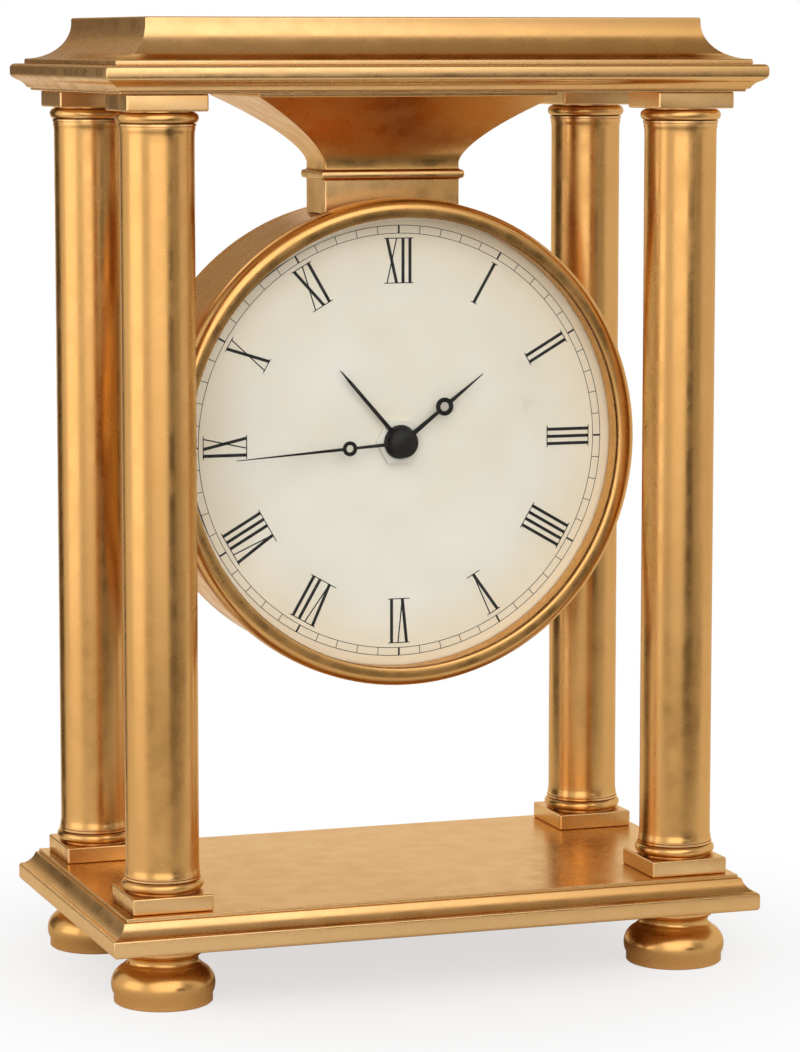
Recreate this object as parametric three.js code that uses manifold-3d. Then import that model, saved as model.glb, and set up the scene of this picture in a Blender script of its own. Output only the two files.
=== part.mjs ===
// Four-column table clock in gilt bronze: two moulded plates held apart by four round columns,
// and a drum hung from the upper plate that holds a battery alarm movement.
// Millimetres, +Z up, dial towards -Y, origin on the table under the middle of the clock.
import * as THREE from 'three';
import { mergeVertices } from 'three/addons/utils/BufferGeometryUtils.js';
import Module from 'manifold-3d';

const wasm = await Module();
wasm.setup();

// Portico: plates, columns and feet
const columnSpan = 130;
const columnRadius = 8.9;
const columnHeight = 189.5;
const drumToColumn = 2.4;
const plinthSide = 19.4;
const plinthHeight = 4;
const ringRadius = 9.7;
const ringHeight = 3.4;
const plateThickness = 8.5;
const topPlateThickness = 6.5;
const plateOverhang = 16;
const plateLipRise = 2.4;
const plateUndercut = 1.6;
const plateShoulder = 4.2;
const plateHollow = 2.9;
const corniceSetback = 1.4;
const corniceFillet = 1.2;
const coveDepth = 9.5;
const coveRise = 8.6;
const footRadius = 12.3;
const footNeckRadius = 8.4;
const footHeight = 14.5;
const footFloor = 4;
const footEdge = 1.4;
const footBulge = 6.1;
const footShoulder = 8.1;
const footNeckLow = 10.2;

// Tie bolts and the hanger bolt
const rodRadius = 2.2;
const rodClearance = 0.5;
const boltHeadRadius = 4.4;
const boltHeadHeight = 3;
const nutRadius = 4.4;
const nutHeight = 3.2;

// Hanger
const hangerDrop = 26.8;
const hangerTopWidth = 75;
const hangerTopDepth = 42;
const hangerNeckWidth = 34;
const hangerNeckDepth = 15;
const hangerFlare = 16;
const hangerRim = 1;
const hangerBow = 1.5;

// Drum, bezel and dial
const drumRadius = 57.2;
const drumWall = 1.5;
const bezelProud = 1.5;
const bezelWidth = 4.5;
const bezelLip = 0.6;
const bezelSkirt = 1.1;
const crystalThickness = 1.8;
const crystalRoom = 0.6;
const dialSetback = 11.6;
const dialThickness = 0.8;
const dialSeatWidth = 2.4;
const seatThickness = 1.2;
const rearCoverThickness = 1.5;
const rearRim = 1;
const windowMargin = 2;
const windowCorner = 6;
const screwShank = 0.9;
const screwHead = 1.9;
const screwHeadHeight = 0.9;
const screwLength = 3.6;
const screwInset = 2.2;
const bossRadius = 2.7;
const bossFloor = 1;
const screwCount = 3;

// Hands, seen from the front and turned clockwise from twelve
const minuteHandAngle = 266;
const hourHandAngle = 52;
const alarmHandAngle = 319;
const minuteHandLength = 42;
const hourHandLength = 26;
const alarmHandLength = 23.4;
const handThickness = 0.4;
const handGap = 0.5;
const moonDistance = 13.6;
const hourMoonRadius = 2.2;
const minuteMoonRadius = 1.8;
const moonPierced = 0.5;
const bladeLap = 0.3;
const capRadius = 4.2;
const capHeight = 1.2;
const capEdge = 0.7;
const capCrown = 3;

// Movement case
const caseWall = 1.2;
const caseMargin = 1;
const coverThickness = 1.2;
const bushRadius = 4;
const fixingNutRadius = 6;
const fixingNutHeight = 1.2;
const knobRadius = 5;
const knobHeight = 4;
const knobRoom = 3.5;
const trainPlateThickness = 0.7;

// Arbors and tubes, from the middle outwards
const minuteArborRadius = 1;
const pivotRadius = 0.5;
const arborRadius = 0.8;
const tubeWall = 0.5;

// Wheels: one module for the motion work and one for the going train
const motionModule = 0.6;
const cannonTeeth = 10;
const motionTeeth = 30;
const motionPinionTeeth = 8;
const hourTeeth = 32;
const alarmTeeth = 32;
const alarmPinionTeeth = 8;
const trainModule = 0.4;
const pinionLeaves = 6;
const centreTeeth = 48;
const thirdTeeth = 45;
const secondsTeeth = 36;
const fifthTeeth = 30;
const motionWheelThickness = 1;
const trainWheelThickness = 0.7;
const wheelGap = 0.7;
const motionAngle = 20;
const alarmAngle = 195;
const thirdAngle = 120;
const secondsAngle = 30;
const fifthAngle = 20;
const rotorAngle = 0;
const magnetRadius = 2.8;
const magnetHeight = 2.2;

// Battery, electrics and switch
const batteryRadius = 7.25;
const batteryLength = 49.2;
const batteryNubRadius = 2.7;
const batteryNubLength = 1.2;
const contactRoom = 1;
const contactThickness = 0.4;
const contactPadRadius = 2;
const coilRadius = 2.6;
const coilLength = 20;
const corePlateThickness = 1;
const coreMargin = 3;
const boardThickness = 1.2;
const boardWidth = 9;
const boardHeight = 15;
const buzzerRadius = 7;
const buzzerThickness = 2.4;
const switchTravel = 4;
const switchStemLength = 5;
const switchStemWidth = 3;
const switchFlange = 1.6;
const switchFlangeThickness = 0.9;
const switchProud = 2;
const switchAcross = -12;

// Clearances
const runningFit = 0.3;
const pressFit = 0.1;
const weldTolerance = 1e-4;

// Heights of the portico
const baseTop = footHeight + plateThickness;
const soffit = baseTop + columnHeight;
const topFace = soffit + topPlateThickness;
const headRecess = boltHeadHeight + pressFit;
const headSeat = topFace - headRecess;
const rodBore = rodRadius + rodClearance;
const drumAxis = soffit - hangerDrop - drumRadius;

// Stations along the drum's axis, from the dial forwards
const dialFace = -dialSetback;
const fixingNutFront = dialFace - fixingNutHeight;
const alarmHandBack = fixingNutFront - handGap;
const hourHandBack = alarmHandBack - handThickness - handGap;
const minuteHandBack = hourHandBack - handThickness - handGap;
const capBack = minuteHandBack - handThickness;
const capFront = capBack - capHeight;
const crystalBack = capFront - crystalRoom;
const crystalFront = crystalBack - crystalThickness;
const bezelFront = crystalFront - bezelLip;
const drumFront = dialFace - runningFit - bezelSkirt;

// Stations from the dial backwards
const caseFront = dialFace + dialThickness;
const caseInside = caseFront + caseWall;
const motionPitch = motionWheelThickness + wheelGap;
const alarmWheelFront = caseInside + wheelGap;
const hourWheelFront = alarmWheelFront + motionPitch;
const motionWheelFront = hourWheelFront + motionPitch;
const trainPlateFront = motionWheelFront + motionPitch;
const trainPlateBack = trainPlateFront + trainPlateThickness;
const trainPitch = trainWheelThickness + wheelGap;
const centreWheelFront = trainPlateBack + wheelGap;
const thirdWheelFront = centreWheelFront + trainPitch;
const secondsWheelFront = thirdWheelFront + trainPitch;
const fifthWheelFront = secondsWheelFront + trainPitch;
const magnetFront = fifthWheelFront + trainPitch;
const caseBack = magnetFront + magnetHeight + caseMargin;
const coverBack = caseBack + coverThickness;
const knobFront = coverBack + handGap;
const knobBack = knobFront + knobHeight;
const rearCoverFront = knobBack + knobRoom;
const rearCoverBack = rearCoverFront + rearCoverThickness;
const drumBack = rearCoverBack + rearRim;

// Widths that follow from the drum
const drumBore = drumRadius - drumWall;
const bezelRadius = drumRadius + bezelProud;
const bezelOpening = bezelRadius - bezelWidth;
const crystalRadius = bezelOpening + bezelLip * 2;
const screwCircle = drumBore - screwInset;
const drumReach = Math.max(-bezelFront, drumBack);
const columnSpanDepth = 2 * (drumReach + drumToColumn + columnRadius);
const plateHalfWidth = columnSpan / 2 + plateOverhang;
const plateHalfDepth = columnSpanDepth / 2 + plateOverhang;

// Axes of the wheels, in the plane of the dial
const centreAxis = new THREE.Vector2(0, 0);
const motionAxis = polar(centreAxis, motionAngle, motionModule * (cannonTeeth + motionTeeth) / 2);
const alarmAxis = polar(centreAxis, alarmAngle, motionModule * (alarmPinionTeeth + alarmTeeth) / 2);
const thirdAxis = polar(centreAxis, thirdAngle, trainModule * (pinionLeaves + centreTeeth) / 2);
const secondsAxis = polar(thirdAxis, secondsAngle, trainModule * (pinionLeaves + thirdTeeth) / 2);
const fifthAxis = polar(secondsAxis, fifthAngle, trainModule * (pinionLeaves + secondsTeeth) / 2);
const rotorAxis = polar(fifthAxis, rotorAngle, trainModule * (pinionLeaves + fifthTeeth) / 2);

// Movement case, as wide as its cell and contacts, with the battery bay at its foot
const cellHalf = batteryLength / 2;
const nubEnd = cellHalf + batteryNubLength;
const caseInner = nubEnd + contactRoom;
const caseHalf = caseInner + caseWall;
const bayHeight = 2 * (batteryRadius + runningFit);
const caseFoot = -caseHalf;
const bayFloor = caseFoot + caseWall;
const bayTop = bayFloor + bayHeight;
const trainFloor = bayTop + caseWall;
const batteryUp = bayFloor + bayHeight / 2;
const batteryDeep = caseInside + runningFit + batteryRadius;

// Tooth forms: shares of the tooth pitch, and heights in modules
const wheelTooth = { tip: 0.95, root: 1.25, tipShare: 0.1, rootShare: 0.4 };
const leafTooth = { tip: 0.55, root: 1.15, tipShare: 0.14, rootShare: 0.22 };

// Round facets
const fine = 48;
const medium = 20;
const coarse = 10;
const slender = 8;
const coveSteps = 6;
const ringSteps = 4;
const flareSteps = 7;
const roundSteps = 3;
const cornerSteps = 3;

const clock = new THREE.Group();

function polar(from, degrees, distance) {
  const turn = THREE.MathUtils.degToRad(degrees);
  return new THREE.Vector2(from.x + distance * Math.cos(turn), from.y + distance * Math.sin(turn));
}

// Welds a geometry into one closed solid whose faces point outwards.
function solid(geometry) {
  const bare = geometry.clone();
  bare.deleteAttribute('normal');
  bare.deleteAttribute('uv');
  const welded = mergeVertices(bare, weldTolerance);
  const points = welded.attributes.position.array;
  const corners = welded.index.array;
  const triangles = [];
  let volume = 0;
  for (let i = 0; i < corners.length; i += 3) {
    const [a, b, c] = [corners[i], corners[i + 1], corners[i + 2]];
    if (a === b || b === c || c === a) continue;
    triangles.push([a, b, c]);
    const [p, q, r] = [a, b, c].map((k) => new THREE.Vector3().fromArray(points, 3 * k));
    volume += p.dot(q.cross(r));
  }
  const outward = volume < 0 ? triangles.map(([a, b, c]) => [a, c, b]) : triangles;
  return new wasm.Manifold(new wasm.Mesh({
    numProp: 3,
    vertProperties: new Float32Array(points),
    triVerts: new Uint32Array(outward.flat()),
  }));
}

function geometryOf(body) {
  const mesh = body.getMesh();
  const geometry = new THREE.BufferGeometry();
  geometry.setAttribute('position', new THREE.BufferAttribute(mesh.vertProperties, 3));
  geometry.setIndex(new THREE.BufferAttribute(mesh.triVerts, 1));
  geometry.computeVertexNormals();
  return geometry;
}

function add(group, name, body, finish) {
  const mesh = new THREE.Mesh(geometryOf(body), new THREE.MeshStandardMaterial(finish));
  mesh.name = name;
  group.add(mesh);
  return mesh;
}

// A turned piece about the vertical, from [radius, height] points.
function turnedUp(profile, segments) {
  const points = profile.map(([radius, height]) => new THREE.Vector2(radius, height));
  return solid(new THREE.LatheGeometry(points, segments).rotateX(Math.PI / 2));
}

// A turned piece about the drum's axis, from [radius, depth] points.
function turnedDeep(profile, segments) {
  const points = profile.map(([radius, depth]) => new THREE.Vector2(radius, depth));
  return solid(new THREE.LatheGeometry(points, segments));
}

function ringDeep(inner, outer, front, back, segments) {
  const section = [[inner, front], [outer, front], [outer, back], [inner, back], [inner, front]];
  return turnedDeep(section, segments);
}

function rodUp(radius, low, high, segments) {
  const rod = new THREE.CylinderGeometry(radius, radius, high - low, segments).rotateX(Math.PI / 2);
  return solid(rod.translate(0, 0, (low + high) / 2));
}

function rodDeep(axis, radius, front, back, segments) {
  const rod = new THREE.CylinderGeometry(radius, radius, back - front, segments);
  return solid(rod.translate(axis.x, (front + back) / 2, axis.y));
}

function rodAcross(radius, left, right, deep, up, segments) {
  const rod = new THREE.CylinderGeometry(radius, radius, right - left, segments).rotateZ(Math.PI / 2);
  return solid(rod.translate((left + right) / 2, deep, up));
}

function block([left, right], [front, back], [low, high]) {
  const box = new THREE.BoxGeometry(right - left, back - front, high - low);
  return solid(box.translate((left + right) / 2, (front + back) / 2, (low + high) / 2));
}

// A flat plate in the plane of the dial, from its outline.
function plate(shape, front, thickness, curveSegments) {
  const flat = new THREE.ExtrudeGeometry(shape, { depth: thickness, bevelEnabled: false, curveSegments });
  return solid(flat.rotateX(Math.PI / 2).translate(0, front + thickness, 0));
}

function disc(radius, hole, x = 0, y = 0) {
  const shape = new THREE.Shape().absarc(x, y, radius, 0, 2 * Math.PI);
  if (hole) shape.holes.push(new THREE.Path().absarc(x, y, hole, 0, 2 * Math.PI));
  return shape;
}

function polygon(points) {
  return new THREE.Shape(points.map(([x, y]) => new THREE.Vector2(x, y)));
}

// A slab of stacked rectangles, from [half width, half depth, height] levels.
function mouldedSlab(levels) {
  const points = levels.flatMap(([x, y, z]) => [-x, -y, z, x, -y, z, x, y, z, -x, y, z]);
  const faces = [0, 2, 1, 0, 3, 2];
  for (let level = 0; level < levels.length - 1; level += 1) {
    for (let side = 0; side < 4; side += 1) {
      const a = 4 * level + side;
      const b = 4 * level + (side + 1) % 4;
      faces.push(a, b, b + 4, a, b + 4, a + 4);
    }
  }
  const top = 4 * (levels.length - 1);
  faces.push(top, top + 1, top + 2, top, top + 2, top + 3);
  const geometry = new THREE.BufferGeometry();
  geometry.setAttribute('position', new THREE.Float32BufferAttribute(points, 3));
  geometry.setIndex(faces);
  return solid(geometry);
}

// Outline of a toothed wheel with the middle of one tooth on the angle aim.
function toothed(teeth, module, tooth, aim) {
  const pitch = 2 * Math.PI / teeth;
  const pitchRadius = module * teeth / 2;
  const points = [];
  for (let i = 0; i < teeth; i += 1) {
    const middle = aim + i * pitch;
    const corners = [
      [pitchRadius - tooth.root * module, -tooth.rootShare],
      [pitchRadius + tooth.tip * module, -tooth.tipShare],
      [pitchRadius + tooth.tip * module, tooth.tipShare],
      [pitchRadius - tooth.root * module, tooth.rootShare],
    ];
    for (const [radius, share] of corners) {
      const turn = middle + share * pitch;
      points.push([radius * Math.cos(turn), radius * Math.sin(turn)]);
    }
  }
  return polygon(points);
}

// A wheel on its axis, with a tooth that points at its mate.
function wheel(axis, mate, teeth, module, front, thickness) {
  const aim = Math.atan2(mate.y - axis.y, mate.x - axis.x);
  return plate(toothed(teeth, module, wheelTooth, aim), front, thickness).translate([axis.x, 0, axis.y]);
}

// A pinion on its axis, with a gap that points at its mate.
function pinion(axis, mate, leaves, module, front, back) {
  const aim = Math.atan2(mate.y - axis.y, mate.x - axis.x) + Math.PI / leaves;
  return plate(toothed(leaves, module, leafTooth, aim), front, back - front).translate([axis.x, 0, axis.y]);
}

const gilt = { color: 0xc89b5a, roughness: 0.28, metalness: 1 };
const steel = { color: 0x9a9a98, roughness: 0.35, metalness: 1 };
const brass = { color: 0xb99a55, roughness: 0.35, metalness: 1 };
const blackened = { color: 0x14120f, roughness: 0.4, metalness: 0.6 };
const enamel = { color: 0xebe4d7, roughness: 0.35, metalness: 0 };
const glass = { color: 0xf4f8f8, roughness: 0.05, metalness: 0, transparent: true, opacity: 0.25 };
const blackPlastic = { color: 0x1b1b1c, roughness: 0.55, metalness: 0 };
const paleNylon = { color: 0xd9d3c2, roughness: 0.5, metalness: 0 };
const boardGreen = { color: 0x2f5a3a, roughness: 0.6, metalness: 0 };
const copperWire = { color: 0x9c5a2c, roughness: 0.4, metalness: 1 };
const cellJacket = { color: 0x3a4a63, roughness: 0.4, metalness: 0.3 };
const switchRed = { color: 0x9e2b20, roughness: 0.5, metalness: 0 };

// The two moulded plates: each is widest at a lip on the side away from the columns and hollowed
// towards them, and has bores for the rods that tie the clock together
function plateLevels(thickness) {
  const inset = (inward, height) => [plateHalfWidth - inward, plateHalfDepth - inward, height];
  const waist = (plateLipRise + thickness) / 2;
  return [
    inset(plateUndercut, 0), inset(0, plateLipRise), inset(plateHollow, waist),
    inset(plateShoulder, thickness),
  ];
}

function turnedOver(levels) {
  const thickness = levels[levels.length - 1][2];
  return levels.map(([x, y, z]) => [x, y, thickness - z]).reverse();
}

const columnPlaces = [
  ['front_left', -columnSpan / 2, -columnSpanDepth / 2],
  ['front_right', columnSpan / 2, -columnSpanDepth / 2],
  ['back_left', -columnSpan / 2, columnSpanDepth / 2],
  ['back_right', columnSpan / 2, columnSpanDepth / 2],
];

function boredPlate(levels, low, places) {
  let body = mouldedSlab(levels).translate([0, 0, low]);
  for (const [x, y] of places) {
    body = body.subtract(rodUp(rodBore, low - 1, low + plateThickness + 1, coarse).translate([x, y, 0]));
  }
  return body;
}

const tiePlaces = columnPlaces.map(([, x, y]) => [x, y]);
const boltPlaces = [...tiePlaces, [0, 0]];
add(clock, 'base_plate', boredPlate(plateLevels(plateThickness), footHeight, tiePlaces), gilt);

let topPlate = boredPlate(turnedOver(plateLevels(topPlateThickness)), soffit, boltPlaces);
for (const [x, y] of boltPlaces) {
  const recess = rodUp(boltHeadRadius + rodClearance, headSeat, topFace + 1, coarse);
  topPlate = topPlate.subtract(recess.translate([x, y, 0]));
}
add(clock, 'top_plate', topPlate, gilt);

// Coved cornice that stands on the top plate and hides the bolt heads
function corniceLevels() {
  const footX = plateHalfWidth - plateUndercut - corniceSetback;
  const footY = plateHalfDepth - plateUndercut - corniceSetback;
  const levels = [[footX, footY, topFace]];
  for (let i = 0; i <= coveSteps; i += 1) {
    const turn = (i / coveSteps) * Math.PI / 2;
    const inward = coveDepth * Math.sin(turn);
    const rise = coveRise * (1 - Math.cos(turn));
    levels.push([footX - inward, footY - inward, topFace + corniceFillet + rise]);
  }
  const top = topFace + 2 * corniceFillet + coveRise;
  levels.push([footX - coveDepth, footY - coveDepth, top]);
  return levels;
}
add(clock, 'top_cornice', mouldedSlab(corniceLevels()), gilt);

// Columns: a square plinth with a half-round ring, a plain shaft, and the same turned over
function ringProfile() {
  const bulge = ringHeight / 2;
  const profile = [[0, -plinthHeight / 2], [ringRadius - bulge, -plinthHeight / 2]];
  for (let i = 0; i <= ringSteps; i += 1) {
    const turn = (i / ringSteps - 0.5) * Math.PI;
    const radius = ringRadius - bulge + bulge * Math.cos(turn);
    profile.push([radius, bulge + bulge * Math.sin(turn)]);
  }
  profile.push([0, ringHeight]);
  return profile;
}

function columnEnd() {
  const half = plinthSide / 2;
  const plinth = block([-half, half], [-half, half], [0, plinthHeight]);
  const ring = turnedUp(ringProfile(), medium).translate([0, 0, plinthHeight]);
  const bore = rodUp(rodBore, -1, plinthHeight + ringHeight + 1, coarse);
  return plinth.add(ring).subtract(bore);
}

const columnEndHeight = plinthHeight + ringHeight;
const shaftLow = baseTop + columnEndHeight;
const shaftHigh = soffit - columnEndHeight;

function columnShaft() {
  return turnedUp([
    [rodBore, shaftLow], [columnRadius, shaftLow], [columnRadius, shaftHigh],
    [rodBore, shaftHigh], [rodBore, shaftLow],
  ], medium);
}

function tieBolt() {
  const head = rodUp(boltHeadRadius, headSeat, headSeat + boltHeadHeight, 6);
  return rodUp(rodRadius, footFloor + runningFit, headSeat + boltHeadHeight / 2, coarse).add(head);
}

function foot() {
  const bore = rodRadius + runningFit;
  return turnedUp([
    [0, 0], [footRadius - footEdge, 0], [footRadius, footEdge], [footRadius, footBulge],
    [footRadius - footEdge, footShoulder], [footNeckRadius, footNeckLow],
    [footNeckRadius, footHeight], [bore, footHeight], [bore, footFloor], [0, footFloor],
  ], medium);
}

for (const [place, x, y] of columnPlaces) {
  const column = new THREE.Group();
  column.position.set(x, y, 0);
  clock.add(column);
  add(column, `foot_${place}`, foot(), gilt);
  add(column, `column_base_${place}`, columnEnd(), gilt).position.z = baseTop;
  add(column, `column_shaft_${place}`, columnShaft(), gilt);
  const capital = add(column, `column_capital_${place}`, columnEnd(), gilt);
  capital.position.z = soffit;
  capital.rotation.x = Math.PI;
  add(column, `tie_bolt_${place}`, tieBolt(), steel);
}

// Hanger: an inverted pyramid with hollow sides and a neck that is saddled on the drum
const drumSaddle = drumRadius + runningFit;

function hangerLevels() {
  const bottom = drumAxis + Math.sqrt(drumRadius ** 2 - (hangerNeckWidth / 2) ** 2) - 1;
  const levels = [[hangerNeckWidth / 2, hangerNeckDepth / 2, bottom]];
  const flareX = (hangerTopWidth - hangerNeckWidth) / 2;
  const flareY = (hangerTopDepth - hangerNeckDepth) / 2;
  for (let i = 0; i <= flareSteps; i += 1) {
    const out = (i / flareSteps) ** hangerBow;
    const z = soffit - hangerRim - hangerFlare * (1 - i / flareSteps);
    levels.push([hangerNeckWidth / 2 + flareX * out, hangerNeckDepth / 2 + flareY * out, z]);
  }
  levels.push([hangerTopWidth / 2, hangerTopDepth / 2, soffit]);
  return levels;
}

const drumCylinder = new THREE.CylinderGeometry(drumSaddle, drumSaddle, hangerTopDepth, 2 * fine);
const hangerBore = rodUp(rodBore, drumAxis, soffit + 1, coarse);
const saddle = solid(drumCylinder.translate(0, 0, drumAxis));
add(clock, 'hanger', mouldedSlab(hangerLevels()).subtract(saddle).subtract(hangerBore), gilt);

// Drum: everything below turns about, or lies along, the axis of the dial
const drum = new THREE.Group();
drum.position.z = drumAxis;
clock.add(drum);

const nutTop = Math.sqrt((drumBore * Math.cos(Math.PI / fine)) ** 2 - nutRadius ** 2) - pressFit;
const boltTip = nutTop - nutHeight - rodRadius;
const hangerHead = rodUp(boltHeadRadius, headSeat - drumAxis, headSeat + boltHeadHeight - drumAxis, 6);
const hangerRod = rodUp(rodRadius, boltTip, headSeat + boltHeadHeight / 2 - drumAxis, coarse);
add(drum, 'hanger_bolt', hangerRod.add(hangerHead), steel);
const nutBlank = rodUp(nutRadius, nutTop - nutHeight, nutTop, 6);
const nutBore = rodUp(rodRadius + pressFit, nutTop - nutHeight - 1, nutTop + 1, coarse);
add(drum, 'hanger_nut', nutBlank.subtract(nutBore), steel);

const seatRadius = drumBore - dialSeatWidth;
const bossFront = rearCoverBack - screwLength - bossFloor;
const drumShell = turnedDeep([
  [drumRadius, drumFront], [drumRadius, drumBack], [drumBore, drumBack],
  [drumBore, caseFront + seatThickness], [seatRadius, caseFront + seatThickness],
  [seatRadius, caseFront], [drumBore, caseFront], [drumBore, drumFront], [drumRadius, drumFront],
], fine);
const wallBore = rodUp(rodBore, boltTip, drumRadius + 1, coarse);
const screwPlaces = [];
for (let i = 0; i < screwCount; i += 1) {
  screwPlaces.push(polar(centreAxis, 90 + 180 / screwCount + i * 360 / screwCount, screwCircle));
}
let drumCase = drumShell.subtract(wallBore);
for (const place of screwPlaces) {
  const hole = rodDeep(place, screwShank + pressFit, bossFront - 1, rearCoverFront + 1, coarse);
  drumCase = drumCase.add(rodDeep(place, bossRadius, bossFront, rearCoverFront, coarse)).subtract(hole);
}
add(drum, 'drum_case', drumCase, gilt);

// Bezel with a groove for the crystal and a skirt inside the drum
const skirtRadius = drumBore - runningFit;
const grooveRadius = crystalRadius + runningFit;
const bezelRound = bezelWidth / 2;
const bezelProfile = [[bezelOpening, bezelFront + bezelLip / 2], [bezelOpening + bezelLip, bezelFront]];
for (let i = 0; i <= roundSteps; i += 1) {
  const turn = (i / roundSteps) * Math.PI / 2;
  const radius = bezelRadius - bezelRound * (1 - Math.sin(turn));
  bezelProfile.push([radius, bezelFront + bezelRound * (1 - Math.cos(turn))]);
}
bezelProfile.push(
  [bezelRadius, drumFront], [skirtRadius, drumFront], [skirtRadius, dialFace - runningFit],
  [bezelOpening, dialFace - runningFit], [bezelOpening, crystalBack + pressFit],
  [grooveRadius, crystalBack + pressFit], [grooveRadius, crystalFront - pressFit],
  [bezelOpening, crystalFront - pressFit], [bezelOpening, bezelFront + bezelLip / 2],
);
add(drum, 'bezel', turnedDeep(bezelProfile, fine), gilt);
const lens = [
  [0, crystalFront], [crystalRadius, crystalFront], [crystalRadius, crystalBack], [0, crystalBack],
];
add(drum, 'crystal', turnedDeep(lens, fine), glass);

// Dial, clamped against its seat and held on the movement's bush by a hexagon nut
const dialHole = bushRadius + runningFit;
add(drum, 'dial', ringDeep(dialHole, drumBore - runningFit, dialFace, caseFront, fine), enamel);
const hexagon = [];
for (let i = 0; i < 6; i += 1) {
  const corner = polar(centreAxis, 60 * i, fixingNutRadius);
  hexagon.push([corner.x, corner.y]);
}
const nutShape = polygon(hexagon);
nutShape.holes.push(new THREE.Path().absarc(0, 0, bushRadius + pressFit, 0, 2 * Math.PI));
add(drum, 'fixing_nut', plate(nutShape, fixingNutFront, fixingNutHeight, coarse), brass);

// Rear cover with a window on the back of the movement
const coverShape = disc(skirtRadius);
const inner = caseHalf + windowMargin - windowCorner;
const windowPoints = [];
const windowCorners = [[inner, inner, 0], [-inner, inner, 90], [-inner, -inner, 180], [inner, -inner, 270]];
for (const [x, y, start] of windowCorners) {
  for (let step = 0; step <= cornerSteps; step += 1) {
    windowPoints.push(polar(new THREE.Vector2(x, y), start + 90 * step / cornerSteps, windowCorner));
  }
}
coverShape.holes.push(new THREE.Path(windowPoints));
let rearCover = plate(coverShape, rearCoverFront, rearCoverThickness, fine / 2);
for (const place of screwPlaces) {
  const hole = rodDeep(place, screwShank + pressFit, rearCoverFront - 1, rearCoverBack + 1, coarse);
  rearCover = rearCover.subtract(hole);
}
add(drum, 'rear_cover', rearCover, gilt);
screwPlaces.forEach((place, i) => {
  const shank = rodDeep(place, screwShank, rearCoverBack - screwLength, rearCoverBack + pressFit, coarse);
  const head = rodDeep(place, screwHead, rearCoverBack, rearCoverBack + screwHeadHeight, coarse);
  add(drum, `rear_cover_screw_${i + 1}`, shank.add(head), steel);
});

// Tubes of the hour and alarm wheels, one inside the other on the minute arbor
const hourTubeBore = minuteArborRadius + runningFit;
const hourTubeRadius = hourTubeBore + tubeWall;
const alarmTubeBore = hourTubeRadius + runningFit;
const alarmTubeRadius = alarmTubeBore + tubeWall;
const bushBore = alarmTubeRadius + runningFit;
const handSeatRadius = minuteArborRadius - 2 * pressFit;

// Movement case: a tray with the battery bay at its foot and a bush through the dial
const arborPlaces = [motionAxis, alarmAxis];
const trainPlaces = [thirdAxis, secondsAxis, fifthAxis, rotorAxis];
const openBack = caseBack + 1;
const trainRoom = block([-caseInner, caseInner], [caseInside, openBack], [trainFloor, caseInner]);
const batteryRoom = block([-caseInner, caseInner], [caseInside, openBack], [bayFloor, bayTop]);
const bush = rodDeep(centreAxis, bushRadius, fixingNutFront, caseFront + pressFit, medium);
const bushHole = rodDeep(centreAxis, bushBore, fixingNutFront - 1, caseInside + 1, medium);
let movementCase = block([-caseHalf, caseHalf], [caseFront, caseBack], [caseFoot, caseHalf]);
movementCase = movementCase.subtract(trainRoom).subtract(batteryRoom).add(bush).subtract(bushHole);
for (const axis of arborPlaces) {
  const bearing = rodDeep(axis, pivotRadius + runningFit, caseFront - 1, caseInside + 1, coarse);
  movementCase = movementCase.subtract(bearing);
}
add(drum, 'movement_case', movementCase, blackPlastic);

// Bearing holes for every arbor that runs in a plate of the movement.
function drilled(body, front, back) {
  let bored = body;
  for (const axis of [centreAxis, ...arborPlaces]) {
    bored = bored.subtract(rodDeep(axis, minuteArborRadius + runningFit, front - 1, back + 1, coarse));
  }
  for (const axis of trainPlaces) {
    bored = bored.subtract(rodDeep(axis, pivotRadius + runningFit, front - 1, back + 1, coarse));
  }
  return bored;
}

const trainSpan = [-caseInner + runningFit, caseInner - runningFit];
const trainRise = [trainFloor + runningFit, caseInner - runningFit];
const trainPlate = block(trainSpan, [trainPlateFront, trainPlateBack], trainRise);
add(drum, 'train_plate', drilled(trainPlate, trainPlateFront, trainPlateBack), paleNylon);

const switchUp = caseInner - switchStemWidth - 2 * switchFlange;
const slotLeft = switchAcross - switchStemLength / 2 - runningFit;
const slotRight = switchAcross + switchStemLength / 2 + switchTravel + runningFit;
const slotHalf = switchStemWidth / 2 + runningFit;
let movementCover = block([-caseHalf, caseHalf], [caseBack, coverBack], [bayTop, caseHalf]);
movementCover = movementCover.subtract(
  block([slotLeft, slotRight], [caseBack - 1, coverBack + 1], [switchUp - slotHalf, switchUp + slotHalf]),
);
add(drum, 'movement_cover', drilled(movementCover, caseBack, coverBack), blackPlastic);

// Motion work: cannon pinion to motion wheel, motion pinion to hour wheel
const cannonBack = motionWheelFront + motionWheelThickness;
const minuteArbor = rodDeep(centreAxis, minuteArborRadius, minuteHandBack, coverBack, coarse)
  .add(rodDeep(centreAxis, handSeatRadius, capFront + capHeight / 3, minuteHandBack + pressFit, coarse))
  .add(pinion(centreAxis, motionAxis, cannonTeeth, motionModule, motionWheelFront, cannonBack));
add(drum, 'minute_arbor', minuteArbor, steel);

function motionWorkWheel(axis, mate, teeth, front) {
  return wheel(axis, mate, teeth, motionModule, front, motionWheelThickness);
}

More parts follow.
